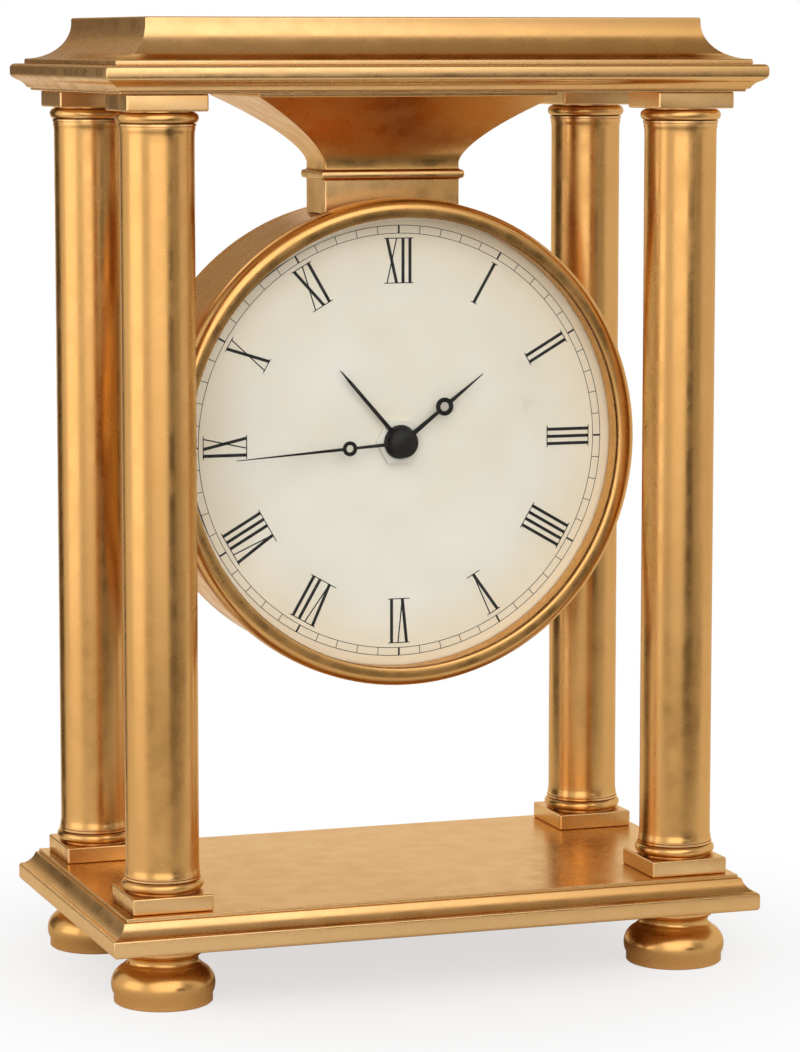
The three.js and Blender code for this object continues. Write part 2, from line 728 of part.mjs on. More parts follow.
const motionPinionFront = hourWheelFront - wheelGap / 2;
const knobSocket = knobFront + knobHeight / 2;
const motionDisc = motionWorkWheel(motionAxis, centreAxis, motionTeeth, motionWheelFront);
const motionLeafBack = motionWheelFront + pressFit;
const motionWheel = motionDisc
  .add(pinion(motionAxis, centreAxis, motionPinionTeeth, motionModule, motionPinionFront, motionLeafBack))
  .add(rodDeep(motionAxis, pivotRadius, caseFront + runningFit, motionPinionFront + pressFit, slender))
  .add(rodDeep(motionAxis, arborRadius, cannonBack - pressFit, knobSocket, slender));
add(drum, 'motion_wheel', motionWheel, paleNylon);

const hourDisc = motionWorkWheel(centreAxis, motionAxis, hourTeeth, hourWheelFront);
const hourTubeFront = hourHandBack - handThickness;
const hourTube = rodDeep(centreAxis, hourTubeRadius, hourTubeFront, hourWheelFront + pressFit, medium);
const hourBackEnd = hourWheelFront + motionWheelThickness;
const hourHole = rodDeep(centreAxis, hourTubeBore, minuteHandBack, hourBackEnd + 1, medium);
add(drum, 'hour_wheel', hourDisc.add(hourTube).subtract(hourHole), paleNylon);

const alarmDisc = motionWorkWheel(centreAxis, alarmAxis, alarmTeeth, alarmWheelFront);
const alarmTubeFront = alarmHandBack - handThickness;
const alarmTube = rodDeep(centreAxis, alarmTubeRadius, alarmTubeFront, alarmWheelFront + pressFit, medium);
const alarmHole = rodDeep(centreAxis, alarmTubeBore, hourHandBack, alarmWheelFront + motionPitch, medium);
add(drum, 'alarm_wheel', alarmDisc.add(alarmTube).subtract(alarmHole), paleNylon);

// Setting knobs on the back of the movement
function knob(axis) {
  const edge = knobHeight / 5;
  const profile = [
    [0, knobFront], [knobRadius, knobFront], [knobRadius, knobBack - edge],
    [knobRadius - edge, knobBack], [0, knobBack],
  ];
  return turnedDeep(profile, medium).translate([axis.x, 0, axis.y]);
}
const knobBore = rodDeep(motionAxis, arborRadius + pressFit, knobFront - 1, knobSocket + pressFit, coarse);
add(drum, 'time_set_knob', knob(motionAxis).subtract(knobBore), blackPlastic);

const alarmPinionFront = alarmWheelFront - wheelGap / 2;
const alarmPinionBack = alarmWheelFront + motionWheelThickness + wheelGap / 2;
const alarmKnob = knob(alarmAxis)
  .add(rodDeep(alarmAxis, arborRadius, alarmPinionBack - pressFit, knobFront + pressFit, slender))
  .add(pinion(alarmAxis, centreAxis, alarmPinionTeeth, motionModule, alarmPinionFront, alarmPinionBack))
  .add(rodDeep(alarmAxis, pivotRadius, caseFront + runningFit, alarmPinionFront + pressFit, slender));
add(drum, 'alarm_set_knob', alarmKnob, blackPlastic);

// Going train: each wheel is moulded with the pinion that its own mate in front drives
function trainPiece(axis, driver, driven, teeth, front, leafFront) {
  const disk = wheel(axis, driver, teeth, trainModule, front, trainWheelThickness);
  const leaves = pinion(axis, driven, pinionLeaves, trainModule, leafFront, front + pressFit);
  const pivots = rodDeep(axis, pivotRadius, trainPlateFront + pressFit, coverBack - pressFit, slender);
  return disk.add(leaves).add(pivots);
}
const leafLead = wheelGap / 2;
const arborHole = minuteArborRadius + pressFit;
const centreHole = rodDeep(centreAxis, arborHole, trainPlateBack, thirdWheelFront, coarse);
const centreDisc = wheel(
  centreAxis, thirdAxis, centreTeeth, trainModule, centreWheelFront, trainWheelThickness,
);
add(drum, 'centre_wheel', centreDisc.subtract(centreHole), brass);
const third = trainPiece(
  thirdAxis, secondsAxis, centreAxis, thirdTeeth, thirdWheelFront, centreWheelFront - leafLead,
);
add(drum, 'third_wheel', third, paleNylon);
const seconds = trainPiece(
  secondsAxis, fifthAxis, thirdAxis, secondsTeeth, secondsWheelFront, thirdWheelFront - leafLead,
);
add(drum, 'seconds_wheel', seconds, paleNylon);
const fifth = trainPiece(
  fifthAxis, rotorAxis, secondsAxis, fifthTeeth, fifthWheelFront, secondsWheelFront - leafLead,
);
add(drum, 'fifth_wheel', fifth, paleNylon);

// Stepping motor: a magnet rotor in a core plate that carries the coil
const rotorLeafFront = fifthWheelFront - leafLead;
const magnet = rodDeep(rotorAxis, magnetRadius, magnetFront, magnetFront + magnetHeight, medium);
const rotor = magnet
  .add(pinion(rotorAxis, fifthAxis, pinionLeaves, trainModule, rotorLeafFront, magnetFront + pressFit))
  .add(rodDeep(rotorAxis, pivotRadius, trainPlateFront + pressFit, coverBack - pressFit, slender));
add(drum, 'rotor', rotor, steel);

const coreFront = magnetFront + (magnetHeight - corePlateThickness) / 2;
const coreBack = coreFront + corePlateThickness;
const coreHalf = magnetRadius + coreMargin;
const coreRight = caseInner - runningFit;
const coreLow = rotorAxis.y - coreHalf;
const coreHigh = rotorAxis.y + coreHalf;
const corePlate = block([rotorAxis.x - coreHalf, coreRight], [coreFront, coreBack], [coreLow, coreHigh]);
const coreHole = rodDeep(rotorAxis, magnetRadius + runningFit, coreFront - 1, coreBack + 1, medium);
const coilMiddle = caseBack - runningFit - coilRadius;
const coil = rodUp(coilRadius, coreLow + coreMargin - coilLength, coreLow + coreMargin, coarse)
  .translate([coreRight - coilRadius, coilMiddle, 0]);
add(drum, 'stator_coil', corePlate.add(coil).subtract(coreHole), copperWire);

// Circuit board and sounder, on the left of the train
const boardLeft = -caseInner + runningFit;
const boardLow = trainFloor + runningFit;
const board = block(
  [boardLeft, boardLeft + boardWidth], [caseBack - boardThickness - runningFit, caseBack - runningFit],
  [boardLow, boardLow + boardHeight],
);
add(drum, 'circuit_board', board, boardGreen);
const buzzerAxis = new THREE.Vector2(
  -caseInner + runningFit + buzzerRadius, caseInner - runningFit - buzzerRadius,
);
const buzzerFront = caseInside + runningFit;
const buzzer = rodDeep(buzzerAxis, buzzerRadius, buzzerFront, buzzerFront + buzzerThickness, medium);
add(drum, 'buzzer', buzzer, brass);

// Alarm switch: a stem in the slot of the cover with a flange behind it
const flangeBack = caseBack - runningFit;
const flangeFront = flangeBack - switchFlangeThickness;
const flangeHalf = switchStemWidth / 2 + switchFlange;
const switchLeft = switchAcross - switchStemLength / 2;
const switchRight = switchAcross + switchStemLength / 2;
const switchStem = block(
  [switchLeft, switchRight], [flangeFront, coverBack + switchProud],
  [switchUp - switchStemWidth / 2, switchUp + switchStemWidth / 2],
);
const switchPlate = block(
  [switchLeft - switchTravel - switchFlange, switchRight + switchFlange],
  [flangeFront, flangeBack], [switchUp - flangeHalf, switchUp + flangeHalf],
);
add(drum, 'alarm_switch', switchStem.add(switchPlate), switchRed);

// Battery across the foot of the case, between two sprung contacts
const cell = rodAcross(batteryRadius, -cellHalf, cellHalf, batteryDeep, batteryUp, medium);
const nub = rodAcross(batteryNubRadius, cellHalf - 1, nubEnd, batteryDeep, batteryUp, coarse);
add(drum, 'battery', cell.add(nub), cellJacket);

function contact(side, reachIn) {
  const outer = caseInner - pressFit;
  const inside = outer - contactThickness;
  const span = side > 0 ? [inside, outer] : [-outer, -inside];
  const leaf = block(
    span, [batteryDeep - batteryRadius / 2, batteryDeep + batteryRadius / 2],
    [batteryUp - batteryRadius / 2, batteryUp + batteryRadius / 2],
  );
  const padSpan = side > 0 ? [reachIn, outer - pressFit] : [-outer + pressFit, -reachIn];
  return leaf.add(rodAcross(contactPadRadius, padSpan[0], padSpan[1], batteryDeep, batteryUp, coarse));
}
add(drum, 'battery_contact_positive', contact(1, nubEnd + pressFit), steel);
add(drum, 'battery_contact_negative', contact(-1, cellHalf + pressFit), steel);

// Hands: flat blades with a pierced moon on the hour and minute hands
function moonHand(length, hub, bore, moonRadius, back) {
  const front = back - handThickness;
  const moonLow = moonDistance - moonRadius + bladeLap;
  const moonHigh = moonDistance + moonRadius - bladeLap;
  const hubEdge = hub - bladeLap;
  const stemRoot = hub / 4;
  const stemNeck = hub / 8;
  const stem = polygon([
    [-stemRoot, hubEdge], [stemRoot, hubEdge], [stemNeck, moonLow], [-stemNeck, moonLow],
  ]);
  const tip = polygon([[-stemRoot, moonHigh], [stemRoot, moonHigh], [0, length]]);
  return plate(disc(hub, bore), front, handThickness, slender)
    .add(plate(stem, front, handThickness))
    .add(plate(disc(moonRadius, moonRadius * moonPierced, 0, moonDistance), front, handThickness, slender))
    .add(plate(tip, front, handThickness));
}

function alarmHand() {
  const front = alarmHandBack - handThickness;
  const hub = alarmTubeRadius + 3 * tubeWall;
  const half = tubeWall / 2;
  const blade = polygon([
    [-half, hub - bladeLap], [half, hub - bladeLap], [half, alarmHandLength - hub], [0, alarmHandLength],
    [-half, alarmHandLength - hub],
  ]);
  return plate(disc(hub, alarmTubeRadius + pressFit), front, handThickness, slender)
    .add(plate(blade, front, handThickness));
}

function clockwise(mesh, degrees) {
  mesh.rotation.y = THREE.MathUtils.degToRad(degrees);
}
clockwise(add(drum, 'alarm_hand', alarmHand(), blackened), alarmHandAngle);
const hourHub = alarmTubeRadius + 2 * tubeWall;
const hourBlade = moonHand(
  hourHandLength, hourHub, hourTubeRadius + pressFit, hourMoonRadius, hourHandBack,
);
clockwise(add(drum, 'hour_hand', hourBlade, blackened), hourHandAngle);
const minuteBlade = moonHand(
  minuteHandLength, hourHub, handSeatRadius + pressFit, minuteMoonRadius, minuteHandBack,
);
clockwise(add(drum, 'minute_hand', minuteBlade, blackened), minuteHandAngle);
const capBlank = turnedDeep([
  [0, capBack], [capRadius, capBack], [capRadius, capFront + capEdge],
  [capCrown, capFront + capEdge / 4], [0, capFront],
], medium);
const capSocket = capFront + capHeight / 4;
const capBore = rodDeep(centreAxis, handSeatRadius + pressFit, capSocket, capBack + 1, coarse);
add(drum, 'centre_cap', capBlank.subtract(capBore), blackened);

export default clock;
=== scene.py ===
import math

import bmesh
import bpy
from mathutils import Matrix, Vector


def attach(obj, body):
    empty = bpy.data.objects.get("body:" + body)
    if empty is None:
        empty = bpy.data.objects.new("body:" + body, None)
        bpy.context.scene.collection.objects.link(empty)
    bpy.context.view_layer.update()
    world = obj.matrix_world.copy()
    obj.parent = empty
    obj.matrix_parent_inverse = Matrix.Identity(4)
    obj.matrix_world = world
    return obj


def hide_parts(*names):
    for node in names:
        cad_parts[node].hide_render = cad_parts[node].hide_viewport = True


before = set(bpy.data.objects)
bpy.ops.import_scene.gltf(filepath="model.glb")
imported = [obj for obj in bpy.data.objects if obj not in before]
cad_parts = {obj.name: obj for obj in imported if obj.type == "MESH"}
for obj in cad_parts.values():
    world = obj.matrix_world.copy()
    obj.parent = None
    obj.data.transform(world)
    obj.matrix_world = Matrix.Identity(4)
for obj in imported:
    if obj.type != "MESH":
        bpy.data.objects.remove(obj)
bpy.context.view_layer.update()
mm = 0.001


# Bun feet: four solid feet in gilt bronze, turned on a lathe, each with a swelling body, a sunk neck
# under the plate and a flat sole. A tie bolt from above screws into each foot.
def new_finish(name):
    """A procedural material to fill: its node tree, its shader and the piece's own coordinates."""
    finish = bpy.data.materials.new(name)
    finish.use_nodes = True
    tree = finish.node_tree
    place = tree.nodes.new("ShaderNodeTexCoord").outputs["Object"]
    return finish, tree, tree.nodes["Principled BSDF"], place


def feed(node, inputs):
    """Sets each socket to a value, or joins it to another node's output."""
    for socket, value in inputs.items():
        if isinstance(value, bpy.types.NodeSocket):
            node.id_data.links.new(value, node.inputs[socket])
        else:
            node.inputs[socket].default_value = value


def add_node(tree, kind, inputs, **traits):
    """Adds one node with its traits and inputs, and gives back its first live output."""
    node = tree.nodes.new("ShaderNode" + kind)
    for trait, setting in traits.items():
        setattr(node, trait, setting)
    feed(node, inputs)
    return next(output for output in node.outputs if output.enabled)


def two_tones(tree, share, low_at, low, high_at, high):
    """A colour ramp from one tone to another."""
    ramp = tree.nodes.new("ShaderNodeValToRGB")
    first, last = ramp.color_ramp.elements
    first.position, first.color = low_at, low
    last.position, last.color = high_at, high
    feed(ramp, {"Fac": share})
    return ramp.outputs["Color"]


def gilt_bronze(name, burnish):
    """Fire gilding on bronze: warm tone in soft patches, fine burnishing lines, paler worn edges."""
    dark_gilt, light_gilt = (0.58, 0.307, 0.095, 1), (0.635, 0.349, 0.119, 1)
    worn_gilt, glancing_gilt = (0.78, 0.50, 0.235, 1), (0.93, 0.78, 0.58, 1)
    finish, tree, shader, place = new_finish(name)
    patches = add_node(tree, "TexNoise", {"Vector": place, "Scale": 38, "Detail": 5, "Roughness": 0.62})
    tone = two_tones(tree, patches, 0.3, dark_gilt, 0.72, light_gilt)
    bend = tree.nodes.new("ShaderNodeNewGeometry").outputs["Pointiness"]
    edge = add_node(tree, "MapRange", {"Value": bend, "From Min": 0.52, "From Max": 0.62, "To Max": 0.7})
    worn = add_node(tree, "Mix", {"Factor": edge, "A": tone, "B": worn_gilt}, data_type="RGBA")
    handling = add_node(tree, "TexNoise", {"Vector": place, "Scale": 160, "Detail": 3})
    polish = add_node(tree, "MapRange", {
        "Value": handling, "From Min": 0.3, "From Max": 0.7, "To Min": 0.22, "To Max": 0.34,
    })
    stretch = add_node(tree, "Mapping", {"Vector": place, "Scale": burnish})
    strokes = add_node(tree, "TexNoise", {"Vector": stretch, "Scale": 1500, "Detail": 2})
    relief = add_node(tree, "Bump", {"Height": strokes, "Strength": 0.035, "Distance": 0.05 * mm})
    feed(shader, {"Metallic": 1.0, "Specular Tint": glancing_gilt})
    feed(shader, {"Base Color": worn, "Roughness": polish, "Normal": relief})
    return finish


def take(piece):
    """Selects one piece alone, because the next tool works on all that is selected."""
    bpy.ops.object.select_all(action="DESELECT")
    piece.select_set(True)
    bpy.context.view_layer.objects.active = piece


def settle():
    """Puts the place, turn and size of what is selected into its mesh."""
    bpy.ops.object.transform_apply(location=True, rotation=True, scale=True)


def close_seams():
    """Merges doubled points, turns all faces outwards and leaves edit mode."""
    bpy.ops.mesh.select_all(action="SELECT")
    bpy.ops.mesh.remove_doubles(threshold=0.002 * mm)
    bpy.ops.mesh.normals_make_consistent(inside=False)
    bpy.ops.object.mode_set(mode="OBJECT")


smooth_under = math.radians(32)


def turn_on_lathe(name, section, centre, axis, steps):
    """Draws half a section as [radius, along the axis] in mm, and spins it about the axis."""
    out = Vector((0, 0, 1)) if axis[1] else Vector((0, 1, 0)) if axis[0] else Vector((1, 0, 0))
    points = [Vector(centre) + (out * r + Vector(axis) * a) * mm for r, a in section]
    bpy.ops.object.select_all(action="DESELECT")
    bpy.ops.mesh.primitive_plane_add(size=0.2 * mm, location=points[0])
    piece = bpy.context.object
    piece.name = name
    bpy.ops.object.mode_set(mode="EDIT")
    bpy.ops.mesh.merge(type="CENTER")
    for here, there in zip(points, points[1:]):
        bpy.ops.mesh.extrude_region_move(TRANSFORM_OT_translate={"value": there - here})
    bpy.ops.mesh.select_all(action="SELECT")
    bpy.ops.mesh.spin(steps=steps, angle=2 * math.pi, center=centre, axis=axis)
    close_seams()
    settle()
    bpy.ops.object.shade_smooth_by_angle(angle=smooth_under)
    return piece


def arc(middle_r, middle_a, radius, start, end, steps):
    """Points of a rounded stretch of a section, angles in degrees from the radius outwards."""
    turns = [math.radians(start + (end - start) * i / steps) for i in range(steps + 1)]
    return [(middle_r + radius * math.cos(t), middle_a + radius * math.sin(t)) for t in turns]


def fit(piece, finish, slot, body, *nodes):
    """Gives a finished piece its material and its place in the clock."""
    piece.data.materials.clear()
    piece.data.materials.append(finish)
    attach(piece, body)
    if nodes:
        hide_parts(*nodes)


def copy_to(piece, name, shift):
    """A like piece with its own mesh, moved to another place."""
    take(piece)
    bpy.ops.object.duplicate()
    copy = bpy.context.object
    copy.name = name
    bpy.ops.transform.translate(value=shift)
    settle()
    return copy


def one_at_each_corner(piece, label, finish, node_stem):
    """Keeps the front left piece and copies it to the three other corners."""
    for corner, shift in corner_shifts.items():
        copy = copy_to(piece, label + corner, shift) if any(shift) else piece
        copy.name = label + corner
        fit(copy, finish, "gilt_bronze", "clock_frame", node_stem + corner)


column_x, column_y = 65 * mm, 31 * mm
corner_shifts = {
    "front_left": (0, 0, 0), "front_right": (2 * column_x, 0, 0),
    "back_left": (0, 2 * column_y, 0), "back_right": (2 * column_x, 2 * column_y, 0),
}
upright = (0, 0, 1)
turned_gilt = gilt_bronze("turned gilt bronze", (0.04, 0.04, 1.0))
foot_top = 14.5
sole = [(0, 0), (10.2, 0)] + arc(10.7, 1.2, 1.2, -90, -35, 4)
swelling = arc(7.6, 4.6, 4.7, -30, 62, 10) + [(9.2, 9.2)]
sunk_neck = arc(9.7, 10.6, 1.4, 250, 110, 8) + [(9.0, 12.2), (9.6, 12.5)]
foot_seat = [(9.6, 14.3), (9.4, foot_top), (0, foot_top)]
foot_section = sole + swelling + sunk_neck + foot_seat
foot = turn_on_lathe("bun_foot", foot_section, (-column_x, -column_y, 0), upright, steps=72)
one_at_each_corner(foot, "bun_foot_", turned_gilt, "foot_")


# Base plate: a cast slab of gilt bronze, planed flat on top and moulded all round with a rounded lip
# at the bottom and a hollow that climbs back to a small fillet. The columns stand on its top face.
def raw_block(name, middle, size):
    """A plain block to start a piece from, in metres."""
    bpy.ops.object.select_all(action="DESELECT")
    bpy.ops.mesh.primitive_cube_add(size=1, location=middle)
    block = bpy.context.object
    block.name = name
    bpy.ops.transform.resize(value=size)
    settle()
    return block


def pick(piece, elements, wanted):
    """Goes into edit mode and selects the faces or corners that pass a test."""
    bpy.ops.object.mode_set(mode="EDIT")
    mesh = bmesh.from_edit_mesh(piece.data)
    bpy.ops.mesh.select_all(action="DESELECT")
    for element in getattr(mesh, elements):
        element.select_set(wanted(element))
    bmesh.update_edit_mesh(piece.data)


def soften(piece, width, segments=3, angle=40):
    """Breaks the sharp edges as a file and polishing would."""
    take(piece)
    bpy.ops.object.modifier_add(type="BEVEL")
    edge = piece.modifiers[-1]
    edge.width = width * mm
    edge.segments = segments
    edge.limit_method = "ANGLE"
    edge.angle_limit = math.radians(angle)
    bpy.ops.object.modifier_apply(modifier=edge.name)
    bpy.ops.object.shade_smooth_by_angle(angle=smooth_under)


def pull_slab(name, levels, bevel):
    """Starts from a block between the first two levels and draws its top face up through the rest."""
    (w0, d0, z0), (w1, d1, z1) = levels[:2]
    piece = raw_block(name, (0, 0, (z0 + z1) / 2 * mm), (2 * w0 * mm, 2 * d0 * mm, (z1 - z0) * mm))
    pick(piece, "faces", lambda face: face.normal.z > 0.9)
    bpy.ops.transform.resize(value=(w1 / w0, d1 / d0, 1))
    for (wa, da, za), (wb, db, zb) in zip(levels[1:], levels[2:]):
        bpy.ops.mesh.extrude_region_move(TRANSFORM_OT_translate={"value": (0, 0, (zb - za) * mm)})
        bpy.ops.transform.resize(value=(wb / wa, db / da, 1))
    bpy.ops.mesh.select_all(action="SELECT")
    bpy.ops.mesh.normals_make_consistent(inside=False)
    bpy.ops.object.mode_set(mode="OBJECT")
    soften(piece, bevel)
    return piece


def keep_flats_flat(piece):
    """Lets broad faces shade flat right up to their eased edges."""
    take(piece)
    bpy.ops.object.modifier_add(type="WEIGHTED_NORMAL")
    shading = piece.modifiers[-1]
    shading.keep_sharp = True
    bpy.ops.object.modifier_apply(modifier=shading.name)


plate_w, plate_d, plate_ease = 81.0, 47.0, 0.25
lip = [(1.0, 0), (0.5, 0.12), (0.15, 0.45), (0.0, 0.95), (0.0, 3.7), (0.15, 4.1), (0.55, 4.4)]
hollow = [(1.1, 4.48), (1.35, 4.7), (1.85, 5.05), (2.4, 5.6), (2.9, 6.25), (3.25, 6.95), (3.42, 7.5)]
fillet = [(3.46, 7.66), (4.2, 7.7), (4.2, 8.5)]
flat_gilt = gilt_bronze("planed gilt bronze", (0.06, 1.0, 1.0))
base_levels = [(plate_w - i, plate_d - i, foot_top + z) for i, z in lip + hollow + fillet]
base_plate = pull_slab("moulded_base_plate", base_levels, plate_ease)
keep_flats_flat(base_plate)
fit(base_plate, flat_gilt, "gilt_bronze", "clock_frame", "base_plate")


# Columns: each is a plain turned shaft of gilt bronze tube between two like ends. An end is a square
# block with a half-round ring and a fillet, cast in one, and the tie bolt inside clamps them all.
base_top, soffit = 23.0, 212.5
plinth, plinth_high, plinth_ease, collar_low, end_high, bolt_bore = 19.4, 4.0, 0.45, 3.0, 7.4, 2.7


def column_end(name, turned_over):
    """The square block with its ring, standing on the base plate or hung under the top plate."""
    way = -1 if turned_over else 1
    seat = soffit if turned_over else base_top
    ring = [(bolt_bore, collar_low), (8.4, collar_low), (8.4, 4.2)] + arc(8.3, 5.55, 1.35, -90, 90, 12)
    ring += [(9.05, 6.95), (9.05, end_high), (bolt_bore, end_high), (bolt_bore, collar_low)]
    section = [(r, way * a) for r, a in ring]
    collar = turn_on_lathe("collar", section, (-column_x, -column_y, seat * mm), upright, steps=64)
    middle = (-column_x, -column_y, (seat + way * plinth_high / 2) * mm)
    block = raw_block(name, middle, (plinth * mm, plinth * mm, plinth_high * mm))
    soften(block, plinth_ease)
    collar.select_set(True)
    bpy.ops.object.join()
    keep_flats_flat(block)
    return block


shaft_low, shaft_high = base_top + end_high, soffit - end_high
shaft_half = [(8.7, 0), (8.85, 0.15), (8.85, 1.0), (8.74, 1.3), (8.66, 2.2), (8.64, 4.0), (8.64, 40)]
shaft_section = [(bolt_bore, shaft_low)] + [(r, shaft_low + a) for r, a in shaft_half]
shaft_section += [(r, shaft_high - a) for r, a in reversed(shaft_half)]
shaft_section += [(bolt_bore, shaft_high), (bolt_bore, shaft_low)]
one_at_each_corner(column_end("stand", False), "moulded_base_", turned_gilt, "column_base_")
shaft = turn_on_lathe("shaft", shaft_section, (-column_x, -column_y, 0), upright, steps=80)
one_at_each_corner(shaft, "turned_shaft_", turned_gilt, "column_shaft_")
one_at_each_corner(column_end("head", True), "moulded_capital_", turned_gilt, "column_capital_")


# Tie bolts: four long steel rods, one down the middle of each column from the top plate into the foot.
# Tightening them clamps plates, columns and feet into one frame.
def plain_metal(name, dark, light, low_rough, high_rough):
    """Bare turned or rolled metal with faint mill marks."""
    finish, tree, shader, place = new_finish(name)
    mill = add_node(tree, "TexNoise", {"Vector": place, "Scale": 320, "Detail": 4})
    tone = two_tones(tree, mill, 0.3, dark, 0.7, light)
    rough = add_node(tree, "MapRange", {"Value": mill, "To Min": low_rough, "To Max": high_rough})
    feed(shader, {"Metallic": 1.0, "Base Color": tone, "Roughness": rough})
    return finish


def dress(finish, ease, *names):
    """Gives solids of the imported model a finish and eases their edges."""
    for name in names:
        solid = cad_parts[name]
        solid.data.materials.clear()
        solid.data.materials.append(finish)
        solid.modifiers.new("weld", "WELD").merge_threshold = 0.001 * mm
        edge = solid.modifiers.new("ease", "BEVEL")
        edge.width = ease * mm
        edge.segments = 2
        edge.limit_method = "ANGLE"
        edge.angle_limit = math.radians(40)


bright_steel = plain_metal("bright steel", (0.36, 0.36, 0.35, 1), (0.52, 0.52, 0.5, 1), 0.22, 0.4)
dress(bright_steel, 0.1, *("tie_bolt_" + corner for corner in corner_shifts))


# Top plate and cornice: a thinner slab whose edge swells over a hollow, with a coved cornice laid on it.
# Both are gilt bronze castings, and the cornice hides the heads of the bolts in the plate.
top_face = 219.0
top_edge = [(1.2, 0), (0.6, 0.1), (0.2, 0.4), (0.0, 0.9), (0.0, 2.5), (0.2, 3.05), (0.65, 3.5)]
top_edge += [(1.25, 3.85), (1.9, 4.15), (2.45, 4.5), (2.9, 4.95), (3.2, 5.4), (3.4, 5.8)]
top_edge += [(4.2, 5.85), (4.2, 6.5)]
top_levels = [(plate_w - i, plate_d - i, top_face - z) for i, z in reversed(top_edge)]
top_plate = pull_slab("moulded_top_plate", top_levels, plate_ease)
keep_flats_flat(top_plate)
fit(top_plate, flat_gilt, "gilt_bronze", "clock_frame", "top_plate")

cove_w, cove_d, cove_start, cove_foot, cove_ease = 78.0, 44.0, 0.25, 1.2, 0.2
cove_in, cove_rise, cove_steps = 9.25, 8.6, 14
cove_edge = [(0, 0), (0, 1.0), (cove_start, cove_foot)]
for i in range(1, cove_steps + 1):
    sweep = math.radians(90 * i / cove_steps)
    inwards, upwards = cove_in * math.sin(sweep), cove_rise * (1 - math.cos(sweep))
    cove_edge.append((cove_start + inwards, cove_foot + upwards))
cove_edge += [(9.5, 10.75), (9.75, 11.0)]
cornice_levels = [(cove_w - i, cove_d - i, top_face + z) for i, z in cove_edge]
cornice = pull_slab("coved_cornice", cornice_levels, cove_ease)
keep_flats_flat(cornice)
fit(cornice, flat_gilt, "gilt_bronze", "clock_frame", "top_cornice")


# Hanger: a hollow-sided bracket of gilt bronze like a small pyramid upside down, cast in one with its
# neck, filed to sit on the drum and drawn up against the top plate by one bolt.
def cut_away(piece, cutter):
    """Saws one solid out of another and throws the cutter away."""
    take(piece)
    bpy.ops.object.modifier_add(type="BOOLEAN")
    cut = piece.modifiers[-1]
    cut.operation = "DIFFERENCE"
    cut.object = cutter
    bpy.ops.object.modifier_apply(modifier=cut.name)
    bpy.ops.object.select_all(action="DESELECT")
    cutter.select_set(True)
    bpy.ops.object.delete()


drum_z, saddle_radius = 128.5, 57.45
neck_w, neck_d, flare_w, flare_d = 17.0, 7.5, 37.5, 21.0
flare_low, flare_rise, flare_steps, flare_bow, hanger_ease = 195.5, 16.0, 14, 1.5, 0.3
neck_ring = [(0, 181.0), (0, 191.5), (0.9, 191.7), (1.1, 192.6), (0.9, 193.5), (0, 193.7), (0, flare_low)]
hanger_levels = [(neck_w + out, neck_d + out, z) for out, z in neck_ring]
for i in range(1, flare_steps + 1):
    out = (i / flare_steps) ** flare_bow
    width, depth = neck_w + (flare_w - neck_w) * out, neck_d + (flare_d - neck_d) * out
    hanger_levels.append((width, depth, flare_low + flare_rise * i / flare_steps))
hanger_levels.append((flare_w, flare_d, soffit))
hanger = pull_slab("hanger_bracket", hanger_levels, hanger_ease)
bpy.ops.object.select_all(action="DESELECT")
bpy.ops.mesh.primitive_cylinder_add(
    vertices=160, radius=saddle_radius * mm, depth=60 * mm, location=(0, 0, drum_z * mm),
    rotation=(math.pi / 2, 0, 0),
)
saddle = bpy.context.object
cut_away(hanger, saddle)
keep_flats_flat(hanger)
fit(hanger, flat_gilt, "gilt_bronze", "clock_frame", "hanger")
dress(bright_steel, 0.2, "hanger_bolt", "hanger_nut")


# Drum: a short gilt bronze cylinder spun from sheet, with a narrow seat inside for the dial and three
# bosses at the back for the cover's screws. It hangs by the bolt through its top.
def join_as(name, parts):
    """Makes one piece of several."""
    bpy.ops.object.select_all(action="DESELECT")
    for part in parts:
        part.select_set(True)
    bpy.context.view_layer.objects.active = parts[0]
    if len(parts) > 1:
        bpy.ops.object.join()
    parts[0].name = name
    return parts[0]


screw_turns, screw_circle = (150, 270, 30), 53.5


def screw_place(turn):
    """Where a screw of the rear cover sits, across and up in mm."""
    across = screw_circle * math.cos(math.radians(turn))
    return across, drum_z + screw_circle * math.sin(math.radians(turn))


drum_middle = (0, 0, drum_z * mm)
deep = (0, 1, 0)
spun_gilt = gilt_bronze("spun gilt bronze", (0.04, 1.0, 0.04))
drum_section = [(57.2, -12.8), (57.0, -13.0), (55.7, -13.0), (55.7, -10.8), (53.3, -10.8), (53.3, -9.6)]
drum_section += [(55.7, -9.6), (55.7, 17.9), (55.9, 18.1), (56.9, 18.1), (57.2, 17.8), (57.2, 15.4)]
drum_section += [(57.0, 15.2), (57.0, 14.7), (57.2, 14.5), (57.2, -12.8)]
drum = turn_on_lathe("spun_drum", drum_section, drum_middle, deep, steps=128)
boss_section = [(1.0, 12.5), (2.4, 12.5), (2.7, 12.8), (2.7, 15.6), (1.0, 15.6), (1.0, 12.5)]
bosses = []
for turn in screw_turns:
    across, up = screw_place(turn)
    bosses.append(turn_on_lathe("screw_boss", boss_section, (across * mm, 0, up * mm), deep, steps=24))
join_as("spun_drum", [drum] + bosses)
fit(drum, spun_gilt, "gilt_bronze", "clock_frame", "drum_case")


